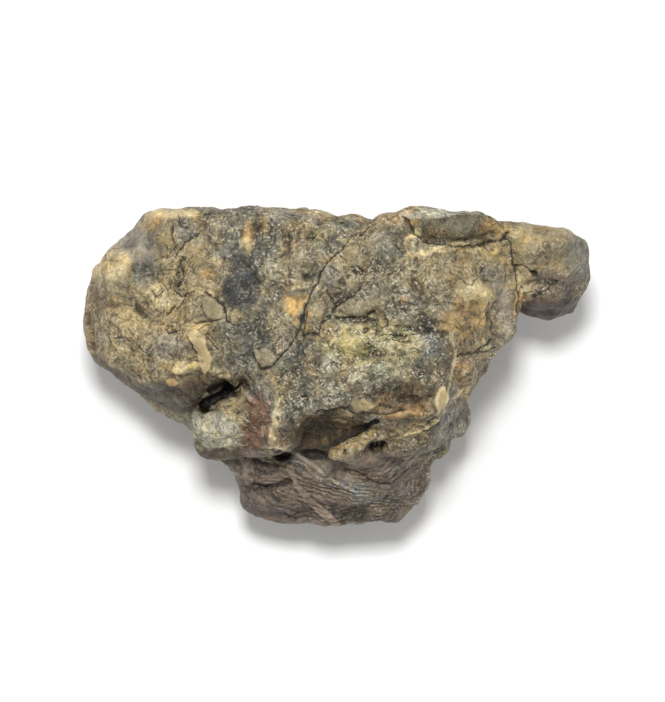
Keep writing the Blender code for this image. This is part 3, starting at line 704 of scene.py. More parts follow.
LUMPS = [
    Lump("end boss", (117, 268), (17, 15), 30, 0.2),
    Lump("grey pool", (149, 276), (20, 11), -20, -0.3),
    Lump("scales", (168, 297), (22, 14), -40, 0.35),
    Lump("upper olive", (166, 236), (17, 15), 0, 0.35),
    Lump("valley", (181, 268), (7, 22), -8, -0.2),
    Lump("swell beside the valley", (203, 256), (15, 24), 10, 0.35),
    Lump("lower swell", (128, 322), (22, 17), -30, 0.3),
    Lump("pit", (170, 328), (7, 5), 0, -0.15),
    Lump("grey shelf", (171, 343), (20, 10), -5, 0.2),
    Lump("shelf foot", (176, 358), (22, 5), -5, -0.2),
    Lump("cream bank", (188, 368), (22, 7), 8, 0.35),
    Lump("under lip", (176, 394), (24, 8), -25, -0.4),
    Lump("ochre hollow", (257, 231), (8, 14), -4, -0.15),
    Lump("ochre rib", (247, 234), (5, 16), -4, 0.25),
    Lump("second rib", (267, 228), (4, 14), -4, 0.22),
    Lump("third rib", (279, 232), (4, 16), -10, 0.2),
    Lump("pocket", (286, 238), (7, 10), 0, -0.3),
    Lump("green eye", (312, 235), (9, 8), -30, -0.35),
    Lump("green brow", (326, 230), (13, 8), 20, 0.3),
    Lump("glass field", (240, 290), (22, 30), 0, -0.15),
    Lump("olive swell", (300, 262), (20, 18), 0, 0.35),
    Lump("crack lip", (298, 288), (15, 4), 6, 0.2),
    Lump("below glass", (245, 350), (24, 18), 0, 0.35),
    Lump("right of the crack", (385, 247), (20, 17), -20, 0.5),
    Lump("tan shoulder", (352, 246), (15, 11), 30, 0.35),
    Lump("left cheek", (333, 274), (13, 14), 10, 0.45),
    Lump("brown pit", (358, 273), (9, 8), 0, -0.2),
    Lump("below the pit", (372, 286), (18, 8), -10, 0.25),
    Lump("clast in the fork", (316, 309), (11, 18), 10, 0.35),
    Lump("lens", (354, 308), (21, 10), 10, 0.5),
    Lump("lens foot", (358, 321), (22, 5), 4, -0.35),
    Lump("right of the lens", (405, 296), (15, 15), 0, 0.45),
    Lump("upper right", (432, 272), (17, 17), 0, 0.4),
    Lump("between", (418, 290), (8, 20), 30, -0.25),
    Lump("boss cap", (437, 312), (14, 11), -10, 0.4),
    Lump("boss", (424, 348), (25, 25), 0, 0.5),
    Lump("boss seam", (420, 330), (28, 5), -6, -0.3),
    Lump("green lump", (352, 343), (16, 13), 0, 0.4),
    Lump("yellow lump", (386, 342), (17, 12), -10, 0.4),
    Lump("saddle", (370, 356), (26, 6), 10, -0.25),
    Lump("diamond pit", (365, 330), (5, 5), 0, -0.35),
    Lump("left ridge", (328, 366), (10, 16), -10, 0.3),
    Lump("striated ridge", (372, 371), (24, 8), 22, 0.3),
    Lump("ledge hollow", (385, 388), (26, 8), 6, -0.45),
    Lump("ledge hollow right", (410, 400), (18, 6), 0, -0.4),
    Lump("ledge front", (400, 414), (34, 6), 2, 0.35),
    Lump("tongue", (292, 410), (13, 32), -6, 0.35),
    Lump("rust hollow", (262, 425), (10, 26), -10, -0.3),
    Lump("notch lip", (243, 390), (26, 6), -42, 0.5),
    Lump("toe", (216, 432), (24, 18), -10, 0.4),
    Lump("flank boss", (475, 297), (22, 18), 10, 0.5),
    Lump("flank hollow", (470, 335), (20, 14), 10, -0.3),
    Lump("flank lower swell", (466, 372), (14, 17), 20, 0.35),
    Lump("brow", (462, 227), (42, 12), 8, 0.4),
    Lump("horn top", (545, 248), (32, 16), 12, 0.4),
    Lump("horn end", (577, 262), (11, 24), 10, 0.25),
    Lump("horn waist", (552, 285), (22, 7), -8, -0.3),
    Lump("horn foot", (556, 302), (26, 10), 0, 0.3),
    Lump("recess", (322, 430), (26, 13), 0, -0.5),
    Lump("crystal lump", (352, 446), (24, 9), 22, 0.6),
    Lump("crystal body", (347, 449), (18, 9), 8, 0.5),
    Lump("lump hole", (378, 447), (7, 5), 0, -0.5),
    Lump("dark hole left", (283, 455), (12, 6), 8, -0.6),
    Lump("dark hole right", (315, 455), (17, 6), -10, -0.3),
    Lump("right slope", (412, 440), (22, 14), -20, 0.3),
    Lump("keel facet", (268, 478), (20, 8), 6, 0.4),
]

# Where the outline is moved: a picture point, how far the move reaches, and the move, all in pixels.
NUDGES = [
    ((134, 236), 8, (-3, -3)),
    ((86, 276), 12, (6, 0)),
    ((132, 388), 16, (-2, 2)),
    ((152, 407), 16, (-3, 3)),
    ((425, 480), 14, (5, 3)),
    ((468, 410), 12, (4, 1)),
    ((484, 381), 8, (-5, -2)),
    ((457, 446), 10, (-4, -5)),
    ((510, 338), 14, (13, 4)),
    ((545, 222), 20, (0, 6)),
    ((516, 219), 10, (0, 3)),
    ((586, 246), 12, (3, -2)),
    ((576, 312), 10, (2, 2)),
    ((370, 212), 9, (0, 7)),
    ((395, 520), 16, (2, 3)),
]

FOLDS = [
    Fold("keel layers", ((262, 444), (285, 452), (312, 470), (340, 480), (370, 489), (402, 486), (425, 462),
        (447, 428), (455, 400)), ((245, 506), (280, 518), (320, 524), (355, 528), (392, 520), (420, 500),
        (442, 470), (466, 430), (474, 404)), 11, 0.22, soft=6),
    Fold("keel left layers", ((240, 466), (258, 468), (278, 470), (290, 474)), ((243, 500), (262, 508),
        (284, 514), (303, 514)), 5, 0.25, strength=0.8),
    Fold("lump foot layers", ((342, 461), (362, 469), (382, 466), (402, 448), (420, 440)), ((345, 478),
        (368, 488), (392, 486), (416, 468), (432, 446)), 5, 0.2, strength=0.9),
    Fold("hip layers", ((452, 372), (449, 400), (440, 430), (425, 465), (408, 495)), ((476, 396),
        (474, 420), (456, 452), (440, 472), (430, 494)), 7, 0.16, strength=0.9),
    Fold("top edge layers", ((196, 206), (225, 203), (250, 202), (275, 199), (300, 207), (330, 209),
        (372, 217)), ((196, 221), (225, 219), (250, 217), (275, 219), (300, 222), (330, 224), (366, 227)),
        4.5, 0.16, strength=0.9, soft=5),
    Fold("brow layers", ((410, 208), (440, 207), (480, 214), (520, 226)), ((420, 216), (445, 216),
        (480, 224), (520, 232)), 3, 0.1, strength=0.8, soft=4),
    Fold("left scales", ((128, 318), (142, 298), (156, 272), (168, 245)), ((184, 345), (192, 320),
        (198, 290), (206, 255)), 13, 0.12, strength=0.45, soft=16),
    Fold("lower left scales", ((96, 330), (112, 352), (136, 372)), ((118, 302), (140, 330), (166, 352)), 9,
        0.12, strength=0.4, soft=16),
    Fold("right striae", ((330, 322), (360, 326), (395, 330), (425, 326)), ((330, 352), (360, 358),
        (395, 352), (425, 346)), 7, 0.06, strength=0.35, soft=14),
    Fold("ridge striae", ((346, 372), (368, 360), (392, 356)), ((356, 388), (378, 376), (402, 370)), 5,
        0.12, strength=0.5),
    Fold("horn end layers", ((566, 226), (572, 262), (556, 284)), ((600, 250), (592, 290), (580, 316)), 6,
        0.12, strength=0.6),
]

LINES = [
    Line("long crack", ((378, 220), (367, 227), (352, 240), (336, 253), (329, 260), (322, 268), (319, 277),
        (317, 284), (311, 292), (308, 298), (304, 306), (302, 313), (300, 325), (298, 331), (292, 342),
        (286, 350), (279, 358), (272, 366), (262, 369), (257, 362), (255, 354)), 0.7, -0.4, hair=0.2),
    Line("crack twin", ((306, 311), (305, 322), (304, 335)), 0.6, -0.2, hair=0.14),
    Line("crack branch", ((303, 335), (310, 333), (319, 334), (321, 325), (328, 319), (335, 308),
        (340, 303), (348, 298), (360, 288)), 0.8, hair=0.15),
    Line("junction fork", ((328, 291), (332, 301), (337, 305)), 0.8, hair=0.13),
    Line("lens crease", ((336, 317), (345, 320), (356, 318), (364, 315), (372, 312)), 1, -0.45, hair=0.2),
    Line("lens crease right", ((386, 314), (387, 326)), 0.7, -0.25, hair=0.12),
    Line("scale crack", ((198, 234), (190, 239), (183, 245), (178, 254)), 0.8),
    Line("scale valley", ((183, 258), (180, 266), (181, 276), (178, 286)), 1.2, -0.35, hair=0.1),
    Line("block edge", ((206, 293), (215, 298), (222, 304), (225, 314), (226, 320), (232, 325),
        (240, 326))),
    Line("block foot", ((194, 323), (203, 320), (211, 321), (220, 319)), hair=0.15),
    Line("clast left", ((187, 336), (192, 344), (197, 353)), 0.6, -0.25, hair=0.12),
    Line("clast right", ((208, 338), (213, 343), (217, 349)), 0.6, -0.25, hair=0.12),
    Line("short pit", ((168, 314), (175, 307)), hair=0.14),
    Line("short pit two", ((166, 330), (169, 334), (175, 331)), 0.8, -0.35, hair=0.2),
    Line("chip edge", ((151, 290), (156, 299), (162, 290)), 0.7, -0.25, hair=0.1),
    Line("brow crease", ((403, 216), (409, 224), (414, 233), (425, 241), (443, 244), (464, 247), (478, 246),
        (489, 242), (503, 241), (507, 234)), 0.8, -0.4, hair=0.13),
    Line("horn crack", ((507, 240), (511, 246), (512, 256), (512, 265), (522, 265), (529, 270), (535, 275)),
        0.6),
    Line("neck crack", ((514, 266), (518, 284), (520, 298), (518, 312)), hair=0.14),
    Line("horn fold", ((534, 297), (544, 291), (556, 284)), 1.2, -0.35, hair=0.12),
    Line("cheek crack", ((451, 273), (461, 278), (466, 284), (473, 284), (478, 278), (477, 266),
        (481, 260)), 0.6, -0.22, hair=0.07),
    Line("flank crack", ((457, 356), (467, 354), (478, 352), (484, 347), (491, 340)), 0.8),
    Line("flank crack low", ((478, 355), (487, 351), (497, 347)), 0.6, -0.22, hair=0.1),
    Line("rim line", ((453, 342), (455, 355), (451, 374), (447, 390), (443, 408), (436, 414)), 0.7, 0.25,
        hair=0, tint=T.LIGHT_TAN, wander=0.06),
    Line("ledge seam", ((318, 412), (333, 411), (346, 410), (357, 414), (371, 413), (391, 413), (404, 409)),
        0.8, hair=0.15),
    Line("slot edge", ((336, 442), (348, 437), (360, 430), (377, 423)), 1.2, -0.5, hair=0.3),
    Line("slope seam", ((396, 437), (410, 430), (425, 428), (437, 418)), 0.7, 0.2, hair=0, tint=T.TAN_CLAY),
    Line("striation", ((381, 335), (392, 334), (404, 336), (416, 333)), 0.5, -0.15, hair=0.1),
    Line("striation low", ((383, 341), (396, 340), (408, 342)), 0.5, -0.15, hair=0.1),
    Line("keel fold", ((253, 486), (265, 488), (280, 486), (290, 482)), 1.3, -0.45),
    Line("keel fold upper", ((255, 461), (264, 465), (276, 466)), 1.1, -0.4),
    Line("keel fold right", ((345, 470), (360, 474), (375, 483), (390, 484)), 1, -0.35, hair=0),
    Line("keel upper ridge", ((276, 447), (290, 450), (304, 459), (318, 469), (334, 481), (352, 489)), 0.8,
        0.3, hair=0, tint=T.LAVENDER_GREY, wander=0.1),
    Line("rim of the slope", ((443, 410), (432, 424), (420, 430), (404, 432)), 0.7, 0.2, hair=0,
        tint=T.LIGHT_TAN, wander=0.1),
    Line("valley cracklet", ((174, 227), (173, 236), (176, 246), (172, 252)), hair=0.12),
    Line("valley cracklet two", ((179, 216), (181, 226), (187, 228)), 0.7, -0.25, hair=0.12),
    Line("keel outer ridge", ((440, 455), (434, 470), (428, 486), (417, 503)), 1, 0.3, hair=0,
        tint=T.LAVENDER_GREY),
]


def add_node(tree: Tree, kind: str, inputs: dict | None = None, **settings: object) -> Outputs:
    """Adds a node.

    Args:
        tree: the material's node tree.
        kind: the node's type, without the ShaderNode at its start.
        inputs: a value, or a socket to link, for each input by its name or number.
        settings: the node's own properties.

    Returns:
        The node's outputs.
    """
    node = tree.nodes.new("ShaderNode" + kind)
    for name, value in settings.items():
        setattr(node, name, value)
    for name, value in (inputs or {}).items():
        if isinstance(value, Socket):
            tree.links.new(value, node.inputs[name])
        else:
            node.inputs[name].default_value = value
    return node.outputs


@dataclass(frozen=True)
class Pattern:
    """One cloudy pattern of the rind: its widest swell in millimetres, and how fine, rough and bent it is."""

    mm: float
    detail: float
    roughness: float
    distortion: float

    def drawn(self, tree: Tree, place: Socket, seed: float | None = None) -> Socket:
        """The pattern's value, where a seed gives another part of the same pattern.

        Args:
            tree: the material's node tree.
            place: the place on the rock, in millimetres.
            seed: a number that gives another part of the same pattern.

        Returns:
            The pattern's value, from 0 to 1.
        """
        inputs = {"Vector": place, "Scale": 1 / self.mm, "Detail": self.detail,
                  "Roughness": self.roughness, "Distortion": self.distortion}
        if seed is None:
            return add_node(tree, "TexNoise", inputs)["Fac"]
        return add_node(tree, "TexNoise", {**inputs, "W": seed}, noise_dimensions="4D")["Fac"]


@dataclass(frozen=True)
class Rind:
    """Breccia under a desert weathering rind: a matt, dusty surface with glassy specks.

    The stone is crushed feldspar and pyroxene in dark glass, so its base is fine olive grey grain, cream
    crystal flecks are pale grains with painted glints on them, and pores are filled with brown grime. The
    scales that raise the bump also paint shade in their low parts and light on their crests, and where pits
    are, their low parts are painted darker still, as grime in the pores and as painted shade in the hollows.

    A light is what a colour is multiplied by where a pattern is low and where it is high, or what a crest
    adds to it. An edge is the pattern's value where a mark starts and where it is full. Usual is the range
    that the patterns keep to. A relief is how far a pattern rises, in shares of the bump. A kind of flake has
    a size, a tint and a strength. A tinge has its pattern's seed and what it multiplies the colour by.
    """

    mottle: Pattern = Pattern(3.2, 5.0, 0.65, 0.6)
    mottle_light: Pair = (0.6, 1.35)
    scales: Pattern = Pattern(1.6, 7.0, 0.68, 1.2)
    # The scales paint shade in their low parts and light on their crests, along the relief they give the
    # bump.
    scale_shade_and_light: Pair = (0.36, 1.88)
    grain: Pattern = Pattern(0.3, 2.0, 0.6, 0.2)
    grain_light: Pair = (0.8, 1.2)
    usual: Pair = (0.32, 0.68)
    calming: float = 0.75
    layer_sway: Pattern = Pattern(3.0, 4.0, 0.6, 0.8)
    layer_sway_share: float = 4.5
    layer_shown: Pattern = Pattern(2.4, 4.0, 0.65, 0.6)
    layer_shown_edge: Pair = (0.36, 0.52)
    layer_worn: Pattern = Pattern(1.8, 4.0, 0.65, 0.9)
    layer_worn_edge: Pair = (0.4, 0.56)
    crest_edge: Pair = (0.24, 0.04)
    crest_light: float = 0.95
    crease_edge: Pair = (0.34, 0.5)
    crease_light: float = -0.58
    blush: Pattern = Pattern(2.6, 5.0, 0.66, 0.8)
    blush_edge: Pair = (0.46, 0.62)
    tinges: tuple = ((3.1, (1.12, 1.0, 0.78)), (9.7, (0.86, 0.97, 1.12)))
    pore: Tint = Tint.BLACK
    # Where the low parts of the scales are painted dark: grime in the pores and painted shade in the hollows.
    hollow_edge: Pair = (0.42, 0.28)
    hollow_dark: float = 0.7
    rifts: Pattern = Pattern(1.8, 4.0, 0.6, 1.8)
    rift_edge: Pair = (0.93, 0.985)
    rift_zone: Pair = (0.52, 0.44)
    rift_dark: float = 0.85
    nests: Pattern = Pattern(2.24, 2.0, 0.5, 0.8)
    nest_edge: Pair = (0.43, 0.56)
    flake_mm: float = 0.66
    flake_width_mm: float = 0.115
    # The palest flakes are painted glints as well as pale crystals.
    flake_kinds: tuple = ((1.9, Tint.LIGHT_TAN, 0.6), (1.15, Tint.CREAM, 0.8), (0.75, Tint.CRYSTAL_AND_GLINT, 0.9))
    flake_bend: float = 0.4
    flake_sway: float = 0.7
    flake_detail: float = 1.5
    flake_luck: Pair = (0.3, 0.75)
    flake_end: Pair = (0.8, 0.55)
    flake_flank: float = 0.3
    split_mm: float = 1.5
    split_dark: float = 0.9
    crystal_mm: float = 0.24
    crystal_luck: Pair = (0.8, 0.9)
    crystal_edge: Pair = (0.42, 0.56)
    crystal_and_glint_light: float = 0.7
    hairline_edge: Pair = (1.1, 0.5)
    hairline_dark: float = 0.95
    roughness: Pair = (0.76, 0.41)
    gloss_share: float = -0.5
    bump_mm: float = 0.24
    scale_relief: float = 2.0
    flake_relief: float = 0.35
    grain_relief: float = 0.6
    rift_relief: float = -0.25
    crest_relief: float = 0.6
    crease_relief: float = -0.4
    split_relief: float = -1.2
    ior: float = 1.52

    def build(self) -> bpy.types.Material:
        """Makes the node material.

        Returns:
            The material.
        """
        material = bpy.data.materials.new("weathered_breccia_rind")
        material.use_nodes = True
        tree = material.node_tree
        shader = tree.nodes["Principled BSDF"]
        shader.inputs["IOR"].default_value = self.ior
        metres = add_node(tree, "TexCoord")["Object"]
        place = add_node(tree, "VectorMath", {0: metres, "Scale": 1 / MM}, operation="SCALE")[0]
        rind = add_node(tree, "Attribute", attribute_name="rind")["Color"]
        flecks, pits, gloss, calm, crack, layer, layered = (
            add_node(tree, "Attribute", attribute_name=name)["Fac"]
            for name in ("flecks", "pits", "gloss", "calm", "crack", "layer", "layered"))
        lively = self._times(tree, calm, -self.calming, 1.0)
        mottle = self.mottle.drawn(tree, place)
        scales = self._calmed(tree, self.scales.drawn(tree, place), lively)
        grain = self._calmed(tree, self.grain.drawn(tree, place), lively)
        rift = self._ridge(tree, self.rifts.drawn(tree, place))
        crest, crease = self._strata(tree, place, layer, layered)
        nest = self._between(tree, self.nests.drawn(tree, place), self.nest_edge, flecks)
        flakes = [self._flakes(tree, place, self.flake_mm * size, nest) for size, _, _ in self.flake_kinds]
        split = self._flakes(tree, place, self.split_mm, pits)
        colour = self._lit(tree, rind, mottle, self.mottle_light)
        # Painted shade and light along the scales' relief: low parts darker, crests paler.
        colour = self._lit(tree, colour, scales, self.scale_shade_and_light)
        colour = self._lit(tree, colour, grain, self.grain_light)
        banded = self._times(tree, crease, self.crease_light, self._times(tree, crest, self.crest_light, 1.0))
        colour = add_node(tree, "VectorMath", {0: colour, "Scale": banded}, operation="SCALE")[0]
        for seed, by in self.tinges:
            mask = self._between(tree, self.blush.drawn(tree, place, seed), self.blush_edge, lively)
            tinged = add_node(tree, "VectorMath", {0: colour, 1: by}, operation="MULTIPLY")[0]
            colour = self._mixed(tree, mask, colour, tinged)
        # Pore grime and painted shade: the low parts of the scales go dark where pits are.
        hollow = self._between(tree, scales, self.hollow_edge, pits)
        colour = self._over(tree, colour, hollow, self.pore, self.hollow_dark)
        deep = self._between(tree, mottle, self.rift_zone, self._between(tree, rift, self.rift_edge, pits))
        colour = self._over(tree, colour, deep, self.pore, self.rift_dark)
        for flake, (_, tint, most) in zip(flakes, self.flake_kinds):
            colour = self._over(tree, colour, flake, tint, most)
        colour = self._over(tree, colour, split, self.pore, self.split_dark)
        # Pale crystals with painted glints on the crests of the scales.
        crystals = self._crystals_and_glints(tree, place, scales, flecks)
        colour = self._over(tree, colour, crystals, Tint.CRYSTAL_AND_GLINT, self.crystal_and_glint_light)
        gap = add_node(tree, "Math", {0: crack}, operation="ABSOLUTE")[0]
        hairline = self._between(tree, gap, self.hairline_edge, 1.0)
        colour = self._over(tree, colour, hairline, self.pore, self.hairline_dark)
        tree.links.new(colour, shader.inputs["Base Color"])
        dull, keen = self.roughness
        rough = add_node(tree, "MapRange", {"Value": scales, "To Min": dull, "To Max": keen})[0]
        tree.links.new(self._times(tree, gloss, self.gloss_share, rough), shader.inputs["Roughness"])
        reliefs = [
            (scales, self.scale_relief),
            *((flake, self.flake_relief) for flake in flakes),
            (grain, self.grain_relief),
            (rift, self.rift_relief),
            (crest, self.crest_relief),
            (crease, self.crease_relief),
            (split, self.split_relief),
        ]
        tree.links.new(self._relief(tree, reliefs), shader.inputs["Normal"])
        return material

    def _times(self, tree: Tree, value: Socket, by: float | Socket, plus: float | Socket) -> Socket:
        """Multiplies a value, and adds to it."""
        return add_node(tree, "Math", {0: value, 1: by, 2: plus}, operation="MULTIPLY_ADD")[0]

    def _from_middle(self, tree: Tree, value: Socket) -> Socket:
        """How far a pattern's value is from a half, on either side."""
        away = self._times(tree, value, 1.0, -0.5)
        return add_node(tree, "Math", {0: away}, operation="ABSOLUTE")[0]

    def _ridge(self, tree: Tree, value: Socket) -> Socket:
        """Turns a pattern to thin crests: 1 where it passes its middle, less on both sides."""
        return self._times(tree, self._from_middle(tree, value), -4.0, 1.0)

    def _calmed(self, tree: Tree, value: Socket, lively: Socket) -> Socket:
        """Brings a pattern nearer its middle where the rock is smooth."""
        return self._times(tree, self._times(tree, value, 1.0, -0.5), lively, 0.5)

    def _between(self, tree: Tree, value: Socket, edge: Pair, share: float | Socket) -> Socket:
        """A mask that is 0 at the edge's first value and 1 at its second one, times a share.

        Args:
            tree: the material's node tree.
            value: the pattern's value.
            edge: the values where the mask is 0 and where it is 1.
            share: what the mask is multiplied by.

        Returns:
            The mask.
        """
        none, full = edge
        mask = add_node(tree, "MapRange", {"Value": value, "From Min": none, "From Max": full})[0]
        return add_node(tree, "Math", {0: mask, 1: share}, operation="MULTIPLY")[0]

    def _lit(self, tree: Tree, colour: Socket, value: Socket, light: Pair) -> Socket:
        """Multiplies a colour by a pattern's value, spread over the light's two numbers.

        Args:
            tree: the material's node tree.
            colour: the colour of the rock so far.
            value: the pattern's value.
            light: what the pattern's low end and its high end multiply by.

        Returns:
            The lit colour.
        """
        low, high = self.usual
        inputs = {"Value": value, "From Min": low, "From Max": high, "To Min": light[0], "To Max": light[1]}
        spread = add_node(tree, "MapRange", inputs)[0]
        return add_node(tree, "VectorMath", {0: colour, "Scale": spread}, operation="SCALE")[0]

    def _mixed(self, tree: Tree, share: Socket, colour: Socket, other: Socket | tuple) -> Socket:
        """A colour with a share of another one."""
        return add_node(tree, "Mix", {0: share, 6: colour, 7: other}, data_type="RGBA")[2]

    def _over(self, tree: Tree, colour: Socket, mask: Socket, tint: Tint, most: float) -> Socket:
        """Lays a tint over a colour through a mask."""
        share = add_node(tree, "Math", {0: mask, 1: most}, operation="MULTIPLY")[0]
        return self._mixed(tree, share, colour, (*linear(tint.value), 1.0))

    def _flakes(self, tree: Tree, place: Socket, size: float, share: Socket) -> Socket:
        """Short lines of every slant: thin flat crystals cut by the surface, one in each cell of rock.

        Args:
            tree: the material's node tree.
            place: the place on the rock, in millimetres.
            size: the width of a cell in millimetres.
            share: what the mask is multiplied by.

        Returns:
            The mask of the lines.
        """
        waves = {"Vector": place, "Scale": self.flake_sway / size, "Detail": self.flake_detail}
        sway = add_node(tree, "TexNoise", waves)["Color"]
        by = size * self.flake_bend
        bend = add_node(tree, "VectorMath", {0: sway, "Scale": by}, operation="SCALE")[0]
        bent = add_node(tree, "VectorMath", {0: place, 1: bend}, operation="ADD")[0]
        cells = add_node(tree, "TexVoronoi", {"Vector": bent, "Scale": 1 / size})
        away = add_node(tree, "VectorMath", {0: bent, 1: cells["Position"]}, operation="SUBTRACT")[0]
        way = add_node(tree, "VectorMath", {0: cells["Color"], 1: (0.5, 0.5, 0.5)}, operation="SUBTRACT")[0]
        slant = add_node(tree, "VectorMath", {0: way}, operation="NORMALIZE")[0]
        gap = add_node(tree, "VectorMath", {0: away, 1: slant}, operation="DOT_PRODUCT")["Value"]
        gap = add_node(tree, "Math", {0: gap}, operation="ABSOLUTE")[0]
        reach = add_node(tree, "VectorMath", {0: away}, operation="LENGTH")["Value"]
        thin = self._between(tree, gap, (self.flake_width_mm, self.flake_width_mm * self.flake_flank), share)
        luck = add_node(tree, "SeparateColor", {"Color": cells["Color"]})[1]
        lucky = self._between(tree, luck, self.flake_luck, thin)
        return self._between(tree, reach, (size * self.flake_end[0], size * self.flake_end[1]), lucky)

    def _crystals_and_glints(self, tree: Tree, place: Socket, scales: Socket, flecks: Socket) -> Socket:
        """Single bright grains on the crests of the scales: pale crystals with painted glints on them.

        Args:
            tree: the material's node tree.
            place: the place on the rock, in millimetres.
            scales: the value of the scales' pattern.
            flecks: how many flecks the rock has there.

        Returns:
            The mask of the grains.
        """
        cells = add_node(tree, "TexVoronoi", {"Vector": place, "Scale": 1 / self.crystal_mm})
        luck = add_node(tree, "SeparateColor", {"Color": cells["Color"]})[0]
        lucky = self._between(tree, luck, self.crystal_luck, flecks)
        return self._between(tree, scales, self.crystal_edge, lucky)

    def _strata(self, tree: Tree, place: Socket, phase: Socket, share: Socket) -> tuple[Socket, Socket]:
        """Thin crests along the layers, and the dark creases between them.

        Args:
            tree: the material's node tree.
            place: the place on the rock, in millimetres.
            phase: where the surface lies across the layers.
            share: what the mask is multiplied by.

        Returns:
            The mask of the crests, and that of the creases.
        """
        swayed = self._times(tree, self.layer_sway.drawn(tree, place), self.layer_sway_share, phase)
        part = add_node(tree, "Math", {0: swayed}, operation="FRACT")[0]
        away = self._from_middle(tree, part)
        shown = self._between(tree, self.layer_shown.drawn(tree, place), self.layer_shown_edge, share)
        worn = self._between(tree, self.layer_worn.drawn(tree, place), self.layer_worn_edge, share)
        crest = self._between(tree, away, self.crest_edge, shown)
        return crest, self._between(tree, away, self.crease_edge, worn)

    def _relief(self, tree: Tree, reliefs: list[tuple[Socket, float]]) -> Socket:
        """The surface's slant, with each pattern raised by its own share of the relief.

        Args:
            tree: the material's node tree.
            reliefs: each pattern with its relief.

        Returns:
            The bent normal.
        """
        height = 0.0
        for pattern, share in reliefs:
            height = self._times(tree, pattern, share, height)
        return add_node(tree, "Bump", {"Height": height, "Strength": 1.0, "Distance": self.bump_mm * MM})[0]


@dataclass
class Skin:
    """A mesh's points in millimetres, with what is painted on them.

    Home is where the points were before the relief, and front how far each one faces the camera's side.
    """

    mesh: bpy.types.Mesh
    points: Rows = field(init=False)
    normals: Rows = field(init=False)
    edges: Rows = field(init=False)
    home: Rows = field(init=False)
    front: Rows = field(init=False)
    facing: Pair = (0.02, 0.22)

    def __post_init__(self) -> None:
        """Reads the mesh."""
        self.edges = np.empty(len(self.mesh.edges) * 2, np.int32)
        self.mesh.edges.foreach_get("vertices", self.edges)
        self.edges = self.edges.reshape(-1, 2)
        self._read()
        self.settle_in()

    def _read(self) -> None:
        """Takes places and normals from the mesh."""
        count = len(self.mesh.vertices)
        places = np.empty(count * 3)
        self.mesh.vertices.foreach_get("co", places)
        self.points = places.reshape(-1, 3) / MM
        facing = np.empty(count * 3)
        self.mesh.vertex_normals.foreach_get("vector", facing)
        self.normals = facing.reshape(-1, 3)

    def settle_in(self) -> None:
        """Keeps the places as they are now, for all that is drawn."""
        self.home = self.points.copy()
        self.front = ramp(self.normals[:, 2], *self.facing)

    def raise_by(self, heights: Rows) -> None:
        """Moves each point along its normal, by millimetres."""
        self.move_to(self.points + self.normals * heights[:, None])

    def move_to(self, points: Rows) -> None:
        """Sets the places, in millimetres.

        Args:
            points: places in millimetres.
        """
        self.mesh.vertices.foreach_set("co", (points * MM).ravel())
        self.mesh.update()
        self._read()

    def blurred(self, values: Rows, passes: int) -> Rows:
        """Averages each point's row of values with its neighbours'.

        Args:
            values: a row of numbers for each point.
            passes: how often they are averaged.

        Returns:
            The averaged rows.
        """
        count = len(self.points)
        first, second = self.edges[:, 0], self.edges[:, 1]
        degree = np.bincount(first, minlength=count) + np.bincount(second, minlength=count)
        for _ in range(passes):
            total = np.stack([
                np.bincount(first, column[second], count) + np.bincount(second, column[first], count)
                for column in values.T
            ], axis=1)
            values = (values + total / degree[:, None]) / 2
        return values

    def hollowness(self, passes: int) -> Rows:
        """How far each point lies below its blurred neighbourhood, in millimetres."""
        gap = self.blurred(self.points, passes) - self.points
        return (gap * self.normals).sum(1)

    def paint(self, name: str, values: Rows) -> None:
        """Stores a number or a colour for each point.

        Args:
            name: the attribute's name.
            values: a number or a colour for each point.
        """
        if values.ndim == 1:
            self.mesh.attributes.new(name, "FLOAT", "POINT").data.foreach_set("value", values)
            return
        colours = np.concatenate([values, np.ones((len(values), 1))], axis=1)
        self.mesh.attributes.new(name, "FLOAT_COLOR", "POINT").data.foreach_set("color", colours.ravel())


@dataclass
class Layers:
    """The folds laid over a skin: where each point lies across them, their strength and their rise."""

    phase: Rows
    share: Rows
    rise: Rows


